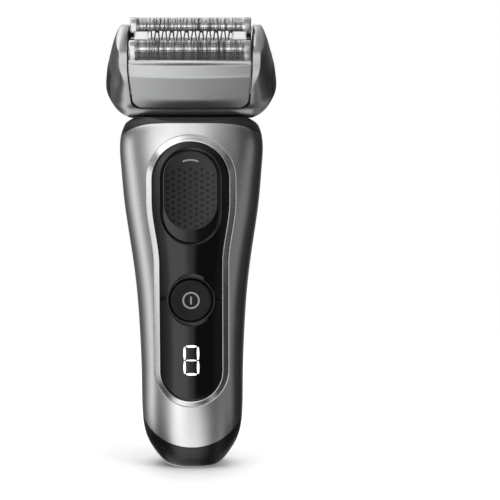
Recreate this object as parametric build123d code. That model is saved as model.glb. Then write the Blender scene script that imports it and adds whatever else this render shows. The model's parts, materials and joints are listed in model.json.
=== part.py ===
"""Cordless foil shaver: handle, tilting head, lift-off foil cassette and drive train.

Units are millimetres. Origin at the centre of the flat base, +Z up, +X to the right of a
viewer facing the front, front towards -Y. The head is modelled in its own frame (origin on
the tilt axis, +Z along the head axis, front towards -Y) and placed with HEAD.
"""
from build123d import *
from functools import lru_cache
from math import copysign, cos, pi, radians, sin
import os

# ---------------------------------------------------------------- driving dimensions
# Handle: height, half width, front y, back y of each cross-section
HANDLE_SECTIONS = [
    (0.0, 7.8, -6.8, 7.0),
    (1.5, 10.3, -8.6, 8.5),
    (4.6, 12.9, -10.2, 9.8),
    (9.0, 15.6, -11.4, 10.9),
    (13.5, 17.1, -12.1, 11.7),
    (20.0, 17.8, -12.8, 12.5),
    (33.0, 18.0, -13.7, 13.5),
    (48.5, 18.5, -14.6, 14.7),
    (65.0, 19.6, -15.1, 15.8),
    (80.0, 21.5, -15.1, 16.4),
    (95.0, 23.6, -14.7, 16.5),
    (108.0, 24.7, -13.8, 16.0),
    (117.0, 24.8, -12.7, 15.2),
    (121.5, 23.4, -11.9, 14.7),
    (125.0, 20.9, -10.8, 14.3),
    (131.0, 15.0, -8.0, 13.6),
]
MID_Y = -1.0          # widest line of every handle cross-section
FRONT_POWER = 2.7     # roundness of the front half (2 = ellipse)
BACK_POWER = 2.3
SPLIT_Y = -2.0        # parting plane between front and rear shell
GAP = 0.12            # shut line between neighbouring outer pieces
WALL = 1.8

TOP_EDGE = 123.4      # centre of the front shell's upper edge
TOP_SHOULDER = (17.6, 122.6)
TOP_SIDE = (24.4, 118.2)
TOP_FALL = 0.6        # slope of the upper edge beyond TOP_SIDE
FOOT_EDGE = 8.2       # centre of the front shell's lower edge
FOOT_SIDE = (17.9, 18.9)
BAND_HEIGHT = 2.7     # dark band below the shells

# Black inlay in the front
INLAY_TOP_R = 13.3
INLAY_TOP_Z = 104.0
INLAY_LOW_R = 10.8
INLAY_LOW_Z = 36.4
INLAY_WAIST = (74.4, 96.5)
INLAY_RISE = 0.8      # inlay stands this far above the shell surface
INLAY_DEEP = 1.7      # and reaches this far below it
BEZEL = 2.3
BEZEL_RISE = 0.9

PAD_HALF = 9.2
PAD_TOP = 114.0
PAD_BOTTOM = 86.6
PAD_RISE = 1.2
RECESS_HALF = 9.85
RECESS_TOP = 114.35
RECESS_BOTTOM = 82.1
RECESS_DEEP = 1.1     # recess floor below the shell surface
PAD_BACK = 0.35       # back of the pad below the shell surface

BUTTON_Z = 62.0
BUTTON_R = 7.2
RING_R = 8.3
SYMBOL_R = 3.3
SYMBOL_STROKE = 0.6
SYMBOL_BAR = (0.5, 3.3)

DIGIT_Z = 40.5
DIGIT_W = 5.2
DIGIT_H = 10.4
SEGMENT = 1.1

# Head
PIVOT = (0.0, 2.0, 133.0)
HEAD_TILT = 31.0
TROUGH_R = 11.5       # clearance round the tilt axis in the collar
# height, half width, half depth of the head frame's outer form
HEAD_SECTIONS = [
    (-4.2, 22.6, 8.2),
    (-3.0, 24.6, 9.4),
    (-1.0, 26.6, 10.4),
    (2.0, 28.4, 11.3),
    (6.0, 29.7, 12.0),
    (10.0, 29.9, 12.6),
    (14.0, 29.3, 13.0),
    (18.0, 28.4, 12.9),
    (21.5, 27.3, 11.0),
    (24.6, 25.4, 6.8),
]
BAY_HALF = 21.5
BAY_LOW_HALF = 20.5
BAY_FLOOR = 2.6
BAY_CORNER = 4.0
PIN_R = 1.25
RUN = 0.05            # running clearance of pins
DRIVE_R = 1.5
CRANK_Y = 8.7         # the drive pin rises at this depth, then leans along the head axis
CRANK_T = (PIVOT[1] - CRANK_Y) / sin(radians(HEAD_TILT))
CRANK_Z = PIVOT[2] + CRANK_T * cos(radians(HEAD_TILT))
NECK_HALF = 6.4
POST_R = 1.2
ARM_X = (17.7, 19.1)
ARM_LOW = 119.4
SECTOR_X = (9.6, 11.2)
SECTOR_TAB = (SECTOR_X, (-9.4, -6.0), (-2.2, 0.9))
SOCKET_W = 11.0
SOCKET_D = 5.0
SOCKET_DEEP = 6.4
CONTACT_R = 0.8
CONTACT_PITCH = 5.0
CONTACT_SHANK_R = 1.1  # thicker part of each contact, moulded into the foot cap
CONTACT_TIP = 1.0
CONTACT_TOP = 10.0
FOIL_S = 6.7          # distance of each foil's centre from the head's middle plane
FOIL_R = 3.8
FOIL_ARC_T = 23.2     # height of the foil arc's centre
FOIL_THICK = 0.15
FRAME_HALF = 21.2
FRAME_TOP = 22.2
FRAME_LOW = 18.0
FOIL_HALF = 18.7
CUTTER_HALF = 15.6
CUTTER_PITCH = 1.3
CUTTER_BLADE = 0.35
TOOTH_PITCH = 1.59
OSCILLATION = 1.2

# Inside of the handle
BATTERY_R = 7.0
BATTERY_Y = 1.8
BATTERY_Z = (26.8, 74.2)
BATTERY_CAP = 1.0     # height of the raised terminal
TAB_THICK = 0.35
CHASSIS_HALF = 13.2
CHASSIS_Y = (-6.6, -5.5)
CHASSIS_Z = (25.0, 93.5)
BOARD_HALF = 11.5
BOARD_Y = (-9.3, -8.1)
BOARD_Z = (30.0, 93.0)
SCREW_X = 9.5
SCREW_Z = (34.0, 88.0)
SCREW_R = 0.8
SCREW_HEAD_R = 1.5
SWITCH_HALF = 3.0
SEAL_Y = -11.9        # back of the button seal, on the switch's dome
MOTOR_Y = (-5.0, 10.5)
MOTOR_HALF = 12.0
MOTOR_Z = (77.4, 98.0)
ARMATURE_Z = (89.4, 95.0)
MAGNET_DEEP = 2.0

# Long-hair trimmer on the back
POCKET_HALF = 11.9
POCKET_Z = (78.0, 121.5)
POCKET_Y = 13.8
SLIDE_HALF = 11.7
SLIDE_Z = (80.0, 108.0)
SLIDE_Y = (14.0, 17.0)
COMB_PITCH = 1.5

# Lock bar and notched sector
BAR_X = (13.0, 14.4)
BAR_Y = (1.4, 3.2)
BAR_Z = (99.0, 103.4)
LOCK_PIN_R = 0.8
LOCK_PIN_Z = 130.0
NOTCH_TILTS = (-20, -10, 0, 10, 20)
SECTOR_R = (5.4, 9.0)

# Cassette
SKIRT_LOW = (11.4, 2.6)      # y, z of the skirt profile's corners
SKIRT_WIDE = (13.2, 16.0)
SKIRT_TOP = (11.5, 19.85)
SKIRT_WALL = 1.4
CORE_HALF = (19.8, 10.3)
CORE_T = (6.6, 16.3)
GUARD_HALF = (20.0, 2.1)
GUARD_T = (18.0, 24.4)
RELEASE_T = (3.4, 14.6)
RELEASE_HALF = 6.0
RELEASE_X = 27.3

HEAD = Pos(*PIVOT) * Rot(HEAD_TILT, 0, 0)


# ---------------------------------------------------------------- helpers
def box(x, y, z):
    """Box from three (low, high) ranges."""
    size = (x[1] - x[0], y[1] - y[0], z[1] - z[0])
    centre = ((x[0] + x[1]) / 2, (y[0] + y[1]) / 2, (z[0] + z[1]) / 2)
    return Pos(*centre) * Box(*size)


def rod(radius, start, end):
    """Cylinder between two points."""
    line = Vector(*end) - Vector(*start)
    return extrude(Plane(origin=start, z_dir=line.normalized()) * Circle(radius), amount=line.length)


def front_prism(face, near=-30.0, far=30.0):
    """Extrude a face drawn as (x, z) through the depth range."""
    drawn = Plane(origin=(0, near, 0), x_dir=(1, 0, 0), z_dir=(0, -1, 0)) * face
    return extrude(drawn, amount=near - far)


def side_prism(face, half):
    """Extrude a face drawn as (y, z) to both sides."""
    drawn = Plane(origin=(-half, 0, 0), x_dir=(0, 1, 0), z_dir=(1, 0, 0)) * face
    return extrude(drawn, amount=2 * half)


def both_sides(solid):
    return solid + mirror(solid, about=Plane.YZ)


def stadium(half, low, high):
    """Upright stadium outline drawn as (x, z)."""
    straight = high - low - 2 * half
    middle = Pos(0, (low + high) / 2) * Rectangle(2 * half, straight)
    return middle + Pos(0, low + half) * Circle(half) + Pos(0, high - half) * Circle(half)


def power_loop(half_x, front, back, z, grow):
    """Closed rounded cross-section of the handle, pushed outwards by grow."""
    points = []
    steps = 32
    for i in range(steps):
        turn = 2 * pi * i / steps
        across, along = cos(turn), sin(turn)
        power = FRONT_POWER if along < 0 else BACK_POWER
        reach = (MID_Y - front if along < 0 else back - MID_Y) + grow
        x = (half_x + grow) * copysign(abs(across) ** (2 / power), across)
        y = MID_Y + reach * copysign(abs(along) ** (2 / power), along)
        points.append((x, y, z))
    return make_face(Spline(*points, periodic=True))


@lru_cache(maxsize=None)
def handle_form(grow=0.0):
    """Outer form of the handle, offset by grow."""
    return loft([power_loop(w, f, b, z, grow) for z, w, f, b in HANDLE_SECTIONS])


def layer(region, outer, inner):
    """The part of a region between two offsets of the handle's surface."""
    return (region & handle_form(outer)) - handle_form(inner)


def rounded_loop(half_x, half_y, z):
    corner = min(5.5, 0.75 * half_y)
    return Pos(0, 0, z) * RectangleRounded(2 * half_x, 2 * half_y, corner)


def head_form(grow=0.0):
    """Outer form of the head frame in head coordinates."""
    return loft([rounded_loop(w + grow, d + grow, z) for z, w, d in HEAD_SECTIONS])


def keyhole(grow=0.0):
    """Outline of the black inlay as (x, z), pushed outwards by grow."""
    low, top = INLAY_LOW_R + grow, INLAY_TOP_R + grow
    z0, z1 = INLAY_WAIST
    foot = ThreePointArc((-low, INLAY_LOW_Z), (0, INLAY_LOW_Z - low), (low, INLAY_LOW_Z))
    right = Line((low, INLAY_LOW_Z), (low, z0))
    right_rise = Spline((low, z0), (top, z1), tangents=[(0, 1), (0, 1)])
    right_top = Line((top, z1), (top, INLAY_TOP_Z))
    crown = ThreePointArc((top, INLAY_TOP_Z), (0, INLAY_TOP_Z + top), (-top, INLAY_TOP_Z))
    left_top = Line((-top, INLAY_TOP_Z), (-top, z1))
    left_rise = Spline((-top, z1), (-low, z0), tangents=[(0, -1), (0, -1)])
    left = Line((-low, z0), (-low, INLAY_LOW_Z))
    edges = [foot, right, right_rise, right_top, crown, left_top, left_rise, left]
    return make_face(Wire(edges))


def foot_arc(drop):
    """Lower edge of the shells as a curve, shifted down by drop."""
    x, z = FOOT_SIDE
    radius = (x ** 2 + (z - FOOT_EDGE) ** 2) / (2 * (z - FOOT_EDGE))
    centre = FOOT_EDGE + radius
    outer = radius + drop
    reach = 17.9 + 2 * drop / 3
    height = centre - (outer ** 2 - reach ** 2) ** 0.5
    return ThreePointArc((-reach, height), (0, centre - outer), (reach, height)), reach, height


def above_foot(drop):
    """Front-view region above the foot arc."""
    arc, reach, height = foot_arc(drop)
    wide, top = 45, 150
    rest = Polyline((reach, height), (wide, height), (wide, top), (-wide, top), (-wide, height),
                    (-reach, height))
    return make_face(Wire([arc] + rest.edges()))


def below_foot(drop):
    """Front-view region below the foot arc."""
    arc, reach, height = foot_arc(drop)
    wide, low = 45, -10
    rest = Polyline((reach, height), (wide, height), (wide, low), (-wide, low), (-wide, height),
                    (-reach, height))
    return make_face(Wire([arc] + rest.edges()))


def below_crown(drop=0.0):
    """Front-view region below the shells' upper edge."""
    x, z = TOP_SHOULDER
    sx, sz = TOP_SIDE
    wide, low = 45, -10
    arc = ThreePointArc((-x, z - drop), (0, TOP_EDGE - drop), (x, z - drop))
    end = sz - TOP_FALL * (wide - sx)
    rest = Polyline((x, z - drop), (sx, sz - drop), (wide, end - drop), (wide, low), (-wide, low),
                    (-wide, end - drop), (-sx, sz - drop), (-x, z - drop))
    return make_face(Wire([arc] + rest.edges()))


# ---------------------------------------------------------------- handle, outside
def build_shells():
    upper = front_prism(below_crown()) & front_prism(above_foot(0))
    skin = layer(upper, 0.0, -WALL)
    front = skin & box((-40, 40), (-40, SPLIT_Y - GAP / 2), (0, 140))
    front -= front_prism(keyhole(BEZEL + GAP), far=SPLIT_Y)
    rear = skin & box((-40, 40), (SPLIT_Y + GAP / 2, 40), (0, 140))
    return front, rear


def build_bezel():
    """Bevelled ring: slants from the shell surface up to the inlay's edge."""
    ring = front_prism(keyhole(BEZEL), far=-6) - front_prism(keyhole(GAP), far=-5)
    body = layer(ring, BEZEL_RISE, -INLAY_DEEP)
    front = body.faces().sort_by(Axis.Y)[0]
    return chamfer(front.outer_wire().edges(), length=BEZEL_RISE - 0.15, length2=BEZEL - 0.5)


def build_inlay():
    """Upper panel, display window and lit segments, split level with the button."""
    region = front_prism(keyhole(0), far=-6) - front_prism(Pos(0, BUTTON_Z) * Circle(RING_R + 0.1), far=-5)
    body = layer(region, INLAY_RISE, -INLAY_DEEP)
    recess = front_prism(stadium(RECESS_HALF, RECESS_BOTTOM, RECESS_TOP), far=-5)
    body -= recess - handle_form(-RECESS_DEEP)
    body -= box((-2.2, 2.2), (-20, -5), (93.6, 104.6))
    upper = body & box((-40, 40), (-40, 0), (BUTTON_Z + 0.05, 140))
    window = body & box((-40, 40), (-40, 0), (0, BUTTON_Z - 0.05))
    segments = layer(front_prism(digit(0), far=-5), INLAY_RISE + 0.03, INLAY_RISE - 0.4)
    window -= front_prism(digit(0.02), far=-5) - handle_form(INLAY_RISE - 0.42)
    return upper, window, segments


def lens(length, thick):
    """Pointed bar, the shape of one display segment, lying along x."""
    half, side = length / 2, thick / 2
    tip = side * 1.1
    outline = Polyline((-half, 0), (-half + tip, side), (half - tip, side), (half, 0), (half - tip, -side),
                       (-half + tip, -side), close=True)
    return make_face(outline)


def digit(grow):
    """The seven segments of the figure eight as (x, z)."""
    flat = lens(DIGIT_W - 0.5 + grow, SEGMENT + 2 * grow)
    tall = Rot(0, 0, 90) * lens(DIGIT_H / 2 - 0.5 + grow, SEGMENT + 2 * grow)
    places = [Pos(0, DIGIT_Z + k * DIGIT_H / 2) * flat for k in (-1, 0, 1)]
    for side in (-1, 1):
        for level in (-1, 1):
            places.append(Pos(side * DIGIT_W / 2, DIGIT_Z + level * DIGIT_H / 4) * tall)
    return Sketch() + places


def build_button():
    outline = Pos(0, BUTTON_Z) * (Circle(RING_R) - Circle(BUTTON_R + 0.12))
    ring = layer(front_prism(outline, far=-5), INLAY_RISE + 0.1, -INLAY_DEEP)
    face_y = front_y(BUTTON_Z) - INLAY_RISE - 0.25
    cap = rod(BUTTON_R, (0, face_y, BUTTON_Z), (0, face_y + 2.0, BUTTON_Z))
    stem = rod(1.5, (0, face_y + 2.0, BUTTON_Z), (0, face_y + 3.2, BUTTON_Z))
    button = cap + stem
    symbol = front_prism(power_mark(0), near=face_y - 0.04, far=face_y + 0.3)
    button -= front_prism(power_mark(0.02), near=face_y - 1, far=face_y + 0.32)
    return ring, button, symbol, face_y


def power_mark(grow):
    """Ring with an upright bar in it, as (x, z)."""
    mark = Circle(SYMBOL_R + grow) - Circle(SYMBOL_R - SYMBOL_STROKE - grow)
    mark += Rectangle(SYMBOL_BAR[0] + 2 * grow, SYMBOL_BAR[1] + 2 * grow)
    return Pos(0, BUTTON_Z) * mark


def front_y(z):
    """Front surface of the handle form on its centre line."""
    for low, high in zip(HANDLE_SECTIONS, HANDLE_SECTIONS[1:]):
        if low[0] <= z <= high[0]:
            share = (z - low[0]) / (high[0] - low[0])
            return low[2] + share * (high[2] - low[2])
    return 0.0


def build_lock():
    """Slider pad with its mark, and the metal bar that catches the head's notches."""
    outline = stadium(PAD_HALF, PAD_BOTTOM, PAD_TOP)
    pad = layer(front_prism(outline, far=-5), PAD_RISE, -PAD_BACK)
    arc = (Circle(12.0) - Circle(11.3)) & Pos(0, 12) * Rectangle(6.0, 3.0)
    place = Pos(0, PAD_TOP - 14.6)
    mark = layer(front_prism(place * arc, far=-5), PAD_RISE + 0.05, PAD_RISE - 0.35)
    pad -= front_prism(place * arc, far=-5) - handle_form(PAD_RISE - 0.37)
    pad += box((-2.0, 2.0), (-14.6, -10.4), (98.2, 104.2))
    foot = box((-3.0, BAR_X[1]), (-10.3, -9.1), BAR_Z)
    link = box(BAR_X, (-9.2, BAR_Y[1]), BAR_Z)
    riser = box(BAR_X, BAR_Y, (BAR_Z[0], LOCK_PIN_Z + 1.2))
    pin = rod(LOCK_PIN_R, (9.4, PIVOT[1], LOCK_PIN_Z), (13.6, PIVOT[1], LOCK_PIN_Z))
    return pad, mark, foot + link + riser + pin


# ---------------------------------------------------------------- collar and neck
def drive_passage():
    """Slot that lets the cranked drive pin swing sideways, upright then along the head axis."""
    wide = DRIVE_R + OSCILLATION + 0.3
    deep = DRIVE_R + 0.4
    upright = box((-wide, wide), (CRANK_Y - deep, CRANK_Y + deep), (100, CRANK_Z + 0.8))
    leaning = HEAD * box((-wide, wide), (-deep, deep), (CRANK_T - 0.8, 6))
    return upright + leaning


def build_collar():
    """Black shoulder closing the handle, with a trough that follows the head's tilt."""
    py, pz = PIVOT[1], PIVOT[2]
    ridge = (-9.3, 125.2)
    sky = make_face(Polyline((-30, 122.9), (-11.6, 123.6), ridge, (-7.0, 125.2), (0, 124.0), (12, 129.6),
                             (30, 129.6), (30, 150), (-30, 150), close=True))
    form = handle_form() - front_prism(below_crown(-GAP))
    form -= side_prism(sky, 40)
    form -= rod(TROUGH_R, (-40, py, pz), (40, py, pz))
    inside = handle_form(-WALL) & box((-40, 40), (-40, 40), (100, 119.0))
    form -= inside
    stub = HEAD * box((-NECK_HALF, NECK_HALF), (-4.4, 4.4), (-13.0, -8.6))
    form += stub - inside
    form -= drive_passage()
    form -= box((12.7, 14.7), (1.1, 3.5), (110, 140))
    form -= both_sides(arm_plate(ARM_X[0], ARM_X[1], ARM_LOW))
    return form - trimmer_pocket()


def arm_plate(near, far, low):
    """Upright side plate whose round end carries the tilt pin; it stays clear of the tilting lips."""
    py, pz = PIVOT[1], PIVOT[2]
    outline = make_face(Polyline((py - 2.0, pz), (py - 0.7, 125.2), (py - 0.7, low), (py + 4.6, low),
                                 (py + 4.6, 126.0), (py + 2.2, pz), close=True))
    outline += Pos(py, pz) * Circle(2.2)
    drawn = Plane(origin=(near, 0, 0), x_dir=(0, 1, 0), z_dir=(1, 0, 0)) * outline
    return extrude(drawn, amount=far - near)


def build_arms():
    """Two metal arms with the head's tilt pins."""
    py, pz = PIVOT[1], PIVOT[2]
    arm = arm_plate(ARM_X[0], ARM_X[1], ARM_LOW)
    arm -= rod(PIN_R, (17, py, pz), (20, py, pz))
    pin = rod(PIN_R, (ARM_X[0], py, pz), (23.2, py, pz))
    return both_sides(arm), both_sides(pin)


def build_neck_seal():
    """Bellows round the drive pin above the neck stub."""
    folds = [box((-w, w), (-d, d), (t, t + 0.8)) for w, d, t in
             ((5.6, 4.2, -8.6), (5.0, 3.6, -7.8), (5.6, 4.2, -7.0), (5.0, 3.6, -6.2))]
    return HEAD * (folds[0] + folds[1:]) - drive_passage()


# ---------------------------------------------------------------- foot
def build_foot():
    """Dark band, foot cap with the charging socket, contact pins and seal."""
    strip = front_prism(above_foot(BAND_HEIGHT)) & front_prism(below_foot(GAP))
    band = layer(strip, 0.0, -WALL)
    seal = layer(strip, -WALL - 0.1, -WALL - 1.0)
    cap = (handle_form() & front_prism(below_foot(BAND_HEIGHT + GAP))) - (
        handle_form(-WALL) & box((-40, 40), (-40, 40), (2.4, 40)))
    cap += box((-7.4, 7.4), (-4.4, 4.4), (2.0, 8.4))
    opening = extrude(Pos(0, 0, -1) * SlotOverall(SOCKET_W, SOCKET_D), amount=1 + SOCKET_DEEP)
    cap -= opening
    pins = []
    for x in (-CONTACT_PITCH / 2, CONTACT_PITCH / 2):
        shank = rod(CONTACT_SHANK_R, (x, 0, SOCKET_DEEP), (x, 0, CONTACT_TOP))
        cap -= shank
        pins.append(rod(CONTACT_R, (x, 0, CONTACT_TIP), (x, 0, SOCKET_DEEP)) + shank)
    return band, seal, cap, Compound(children=pins)


# ---------------------------------------------------------------- handle, inside
def screw_spots():
    return [(x, z) for x in (-SCREW_X, SCREW_X) for z in SCREW_Z]


def build_chassis():
    back = CHASSIS_Y[1]
    low, top = BATTERY_Z[0] - TAB_THICK, BATTERY_Z[1] + BATTERY_CAP + TAB_THICK
    body = box((-CHASSIS_HALF, CHASSIS_HALF), CHASSIS_Y, CHASSIS_Z)
    for z in ((CHASSIS_Z[0], low - 0.05), (top + 0.05, top + 1.45)):
        body += box((-8.0, 8.0), (back, BATTERY_Y + BATTERY_R - 0.2), z)
    body += both_sides(box((8.2, 9.4), (back, 2.0), (CHASSIS_Z[0], top + 1.45)))
    for x, z in screw_spots():
        body += rod(2.0, (x, BOARD_Y[1], z), (x, CHASSIS_Y[0], z))
        body -= rod(SCREW_R + 0.02, (x, BOARD_Y[0], z), (x, back + 0.5, z))
    return body


def build_pcb():
    board = box((-BOARD_HALF, BOARD_HALF), BOARD_Y, BOARD_Z)
    for x, z in screw_spots():
        board -= rod(SCREW_R + 0.02, (x, BOARD_Y[0] - 1, z), (x, BOARD_Y[1] + 1, z))
    return board


def build_pcb_screws():
    """Cross-recess screws that hold the board to the chassis."""
    face = BOARD_Y[0]
    screws = []
    for x, z in screw_spots():
        screw = rod(SCREW_HEAD_R, (x, face - 0.8, z), (x, face, z)) + rod(SCREW_R, (x, face, z), (x, -6.0, z))
        screw -= box((x - 0.2, x + 0.2), (face - 2, face - 0.5), (z - 1, z + 1))
        screw -= box((x - 1, x + 1), (face - 2, face - 0.5), (z - 0.2, z + 0.2))
        screws.append(screw)
    return Compound(children=screws)


def build_switch():
    """Tact switch behind the power button, and the rubber ring that seals the button's opening."""
    near = SEAL_Y + 0.3
    height = (BUTTON_Z - SWITCH_HALF, BUTTON_Z + SWITCH_HALF)
    switch = box((-SWITCH_HALF, SWITCH_HALF), (near, BOARD_Y[0]), height)
    switch += rod(1.6, (0, SEAL_Y, BUTTON_Z), (0, near, BUTTON_Z))
    seal = rod(6.5, (0, SEAL_Y - 0.9, BUTTON_Z), (0, SEAL_Y, BUTTON_Z))
    seal -= rod(4.3, (0, SEAL_Y - 2, BUTTON_Z), (0, SEAL_Y + 1, BUTTON_Z))
    return switch, seal


def build_battery():
    """Round cell and the welded strips on its two ends."""
    low, top = BATTERY_Z
    tip = top + BATTERY_CAP
    can = rod(BATTERY_R, (0, BATTERY_Y, low), (0, BATTERY_Y, top))
    can += rod(2.6, (0, BATTERY_Y, top), (0, BATTERY_Y, tip))
    tabs = box((-4, 4), (BATTERY_Y - 4, BATTERY_Y + 4), (low - TAB_THICK, low))
    tabs += box((-2, 2), (BATTERY_Y - 2, BATTERY_Y + 2), (tip, tip + TAB_THICK))
    return can, tabs


def build_motor():
    """Linear motor: yoke with coil, leaf springs, and the armature that carries the drive pin."""
    low, top = MOTOR_Z
    plate = low + 2.6
    pole = box((-2.6, 2.6), (-1.5, 7), (plate, plate + 6.4))
    yoke = box((-MOTOR_HALF, MOTOR_HALF), MOTOR_Y, (low, plate)) + pole
    yoke += both_sides(box((MOTOR_HALF - 2.4, MOTOR_HALF), MOTOR_Y, (plate, top)))
    coil = box((-6, 6), (MOTOR_Y[0] + 0.5, MOTOR_Y[1] - 0.5), (plate + 0.6, plate + 5.6)) - pole
    springs = both_sides(box((8.5, 8.8), (-2, 7.5), (plate, top - 1)))
    bottom, shoulder = ARMATURE_Z
    stem_top = shoulder + 9
    armature = box((-7, 7), (-3.5, 9), ARMATURE_Z)
    armature += box((-2.4, 2.4), (CRANK_Y - 2.2, CRANK_Y + 2), (shoulder, stem_top))
    magnets = both_sides(box((0.8, 5.2), (-2, 7.5), (bottom - MAGNET_DEEP, bottom)))
    crank = (0, CRANK_Y, CRANK_Z)
    pin = rod(DRIVE_R, (0, CRANK_Y, stem_top), crank) + Pos(*crank) * Sphere(DRIVE_R)
    pin += HEAD * rod(DRIVE_R, (0, 0, CRANK_T), (0, 0, 1.5))
    return yoke, coil, springs, armature, magnets, pin


# ---------------------------------------------------------------- long-hair trimmer on the back
def trimmer_pocket():
    return box((-POCKET_HALF, POCKET_HALF), (POCKET_Y, 30), POCKET_Z)


def build_trimmer():
    """Pop-up slide with its fixed comb, and the blade that moves behind the comb."""
    wide = POCKET_HALF + 1.3
    floor = box((-wide, wide), (POCKET_Y - 1.2, POCKET_Y - 0.1), (POCKET_Z[0] - 1.2, 119.0))
    near, far = SLIDE_Y
    low, top = SLIDE_Z
    slide = box((-SLIDE_HALF, SLIDE_HALF), SLIDE_Y, SLIDE_Z)
    slide -= box((-11, 11), (near - 1, near + 1.6), (top - 4, top + 1))
    slide = fillet(slide.edges().filter_by(Axis.Z).group_by(Axis.Y)[-1], 1.4)
    for i in range(6):
        z = low + 4 + 1.7 * i
        slide += rod(0.45, (-7, far, z), (7, far, z))
    comb = comb_plate(10.8, (near + 0.1, near + 0.7), (top - 3.8, top + 3.0), COMB_PITCH, 0.7)
    blade = comb_plate(9.6, (near + 0.8, near + 1.4), (top - 3.1, top + 2.4), COMB_PITCH, 0.8)
    return floor, slide, comb, blade


def comb_plate(half, depth, height, pitch, tooth):
    """Flat plate with teeth along its upper edge."""
    root = height[1] - 2.4
    plate = box((-half, half), depth, (height[0], root))
    count = int((half - tooth) / pitch)
    teeth = [box((i * pitch - tooth / 2, i * pitch + tooth / 2), depth, (root, height[1]))
             for i in range(-count, count + 1)]
    return plate + teeth


# ---------------------------------------------------------------- head, in head coordinates
def bay(grow):
    """Front-view outline of the space for the cassette."""
    half, low_half, floor = BAY_HALF + grow, BAY_LOW_HALF + grow, BAY_FLOOR - grow
    face = make_face(Polyline((-half, 45), (-half, 18), (-low_half, floor), (low_half, floor), (half, 18),
                              (half, 45), close=True))
    return fillet(face.vertices().sort_by(Axis.Y)[:2], BAY_CORNER)


def build_head_frame():
    frame = head_form() - front_prism(bay(0))
    cavity = head_form(-1.5) & box((-20.8, 20.8), (-20, 20), (-6, 1.1))
    frame -= cavity
    frame -= box((-7.6, 7.6), (-5.2, 5.2), (0, 4))
    frame -= both_sides(box((17.4, 19.8), (-3.0, 3.0), (0, 4)))
    frame -= both_sides(box((17.4, 19.6), (-6.95, 0.0), (-6, 1.1)))
    frame -= both_sides(rod(PIN_R + RUN, (17.4, 0, 0), (23.6, 0, 0)))
    gap = 0.2
    height = (RELEASE_T[0] - gap, RELEASE_T[1] + gap)
    wide = RELEASE_HALF + gap
    frame -= both_sides(box((RELEASE_X - OSCILLATION - gap, 40), (-wide, wide), height))
    return HEAD * frame - build_sector()


def build_sector():
    """Notched plate on the head frame; the lock bar's pin drops into a notch."""
    ring = Circle(SECTOR_R[1]) - Circle(SECTOR_R[0])
    corners = [(-20 * sin(radians(a)), -20 * cos(radians(a))) for a in (2, 30, 60, 82)]
    wedge = make_face(Polyline((0, 0), *corners, close=True))
    plate = ring & wedge
    for tilt in NOTCH_TILTS:
        angle = HEAD_TILT + tilt
        notch = Pos(0, -5.6) * Rectangle(2.1, 5.6)
        plate -= Rot(0, 0, -angle) * notch
    drawn = Plane(origin=(SECTOR_X[0], 0, 0), x_dir=(0, 1, 0), z_dir=(1, 0, 0)) * plate
    sector = extrude(drawn, amount=SECTOR_X[1] - SECTOR_X[0]) + box(*SECTOR_TAB)
    return HEAD * sector


def build_bridge():
    """Sideways-moving bridge: two cheeks hold the drive pin, three posts drive the cutters."""
    cheek = both_sides(box((DRIVE_R + RUN, 3.2), (-2.2, 2.2), (-3.4, 3.0)))
    body = cheek + box((-4.6, 4.6), (-8.2, 8.2), (3.0, 4.4))
    for s in (-FOIL_S, 0, FOIL_S):
        body += rod(POST_R, (0, s, 4.4), (0, s, 14.6))
    spots = [(s, 4.75 + 0.75 * i) for s in (-FOIL_S, FOIL_S) for i in range(4)]
    springs = [Pos(0, s, t) * Torus(1.75, 0.25) for s, t in spots]
    return HEAD * body, HEAD * Compound(children=springs)


def build_release(side):
    """Side button that unlatches the cassette, with finger grooves."""
    button = head_form(0.7) & box((RELEASE_X, 40), (-RELEASE_HALF, RELEASE_HALF), RELEASE_T)
    for i in range(4):
        z = RELEASE_T[0] + 2.6 + 1.8 * i
        button -= box((RELEASE_X + 3, 40), (-4.4, 4.4), (z, z + 0.7))
    if side < 0:
        button = mirror(button, about=Plane.YZ)
    return HEAD * button


def skirt_profile(inset):
    """Side profile of the cassette as (y, z), moved inwards by inset."""
    low, wide, top = (y - inset for y in (SKIRT_LOW[0], SKIRT_WIDE[0], SKIRT_TOP[0]))
    if inset:
        top = SKIRT_TOP[0] - 0.35
    right = [(top, SKIRT_TOP[1]), (wide, SKIRT_WIDE[1]), (low, SKIRT_LOW[1])]
    left = [(-y, z) for y, z in right[::-1]]
    return make_face(Polyline(*left, *right, close=True))


def build_cassette():
    """Silver shell with front and rear skirts, and the black carrier inside it."""
    outline = front_prism(bay(-0.15))
    shell = (side_prism(skirt_profile(0), 30) - side_prism(skirt_profile(SKIRT_WALL), 30)) & outline
    ends = both_sides(box((20.0, 21.3), (-11.0, 11.0), (7.4, 16.2)))
    shell += ends & outline & side_prism(skirt_profile(0.5), 30)
    half, deep = CORE_HALF
    low, top = CORE_T
    inner = half - 1.2
    core = box((-half, half), (-deep, deep), CORE_T)
    core -= box((-inner, inner), (-deep + 0.9, deep - 0.9), (low + 1.4, 20))
    for y in ((-3.7, -2.8), (2.8, 3.7)):
        core += box((-inner, inner), y, (low + 1.4, top - 0.1))
    for s in (-FOIL_S, 0, FOIL_S):
        core -= box((-4.2, 4.2), (s - 2.75, s + 2.75), (low - 0.6, low + 1.8))
    return HEAD * shell, HEAD * core


def arch(radius, legs):
    """Round-topped outline as (y, z), centred on the foil arc."""
    above = Pos(0, FOIL_ARC_T + radius) * Rectangle(4 * radius, 2 * radius)
    top = Pos(0, FOIL_ARC_T) * Circle(radius) & above
    return top + Pos(0, FOIL_ARC_T - legs / 2) * Rectangle(2 * radius, legs)


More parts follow.
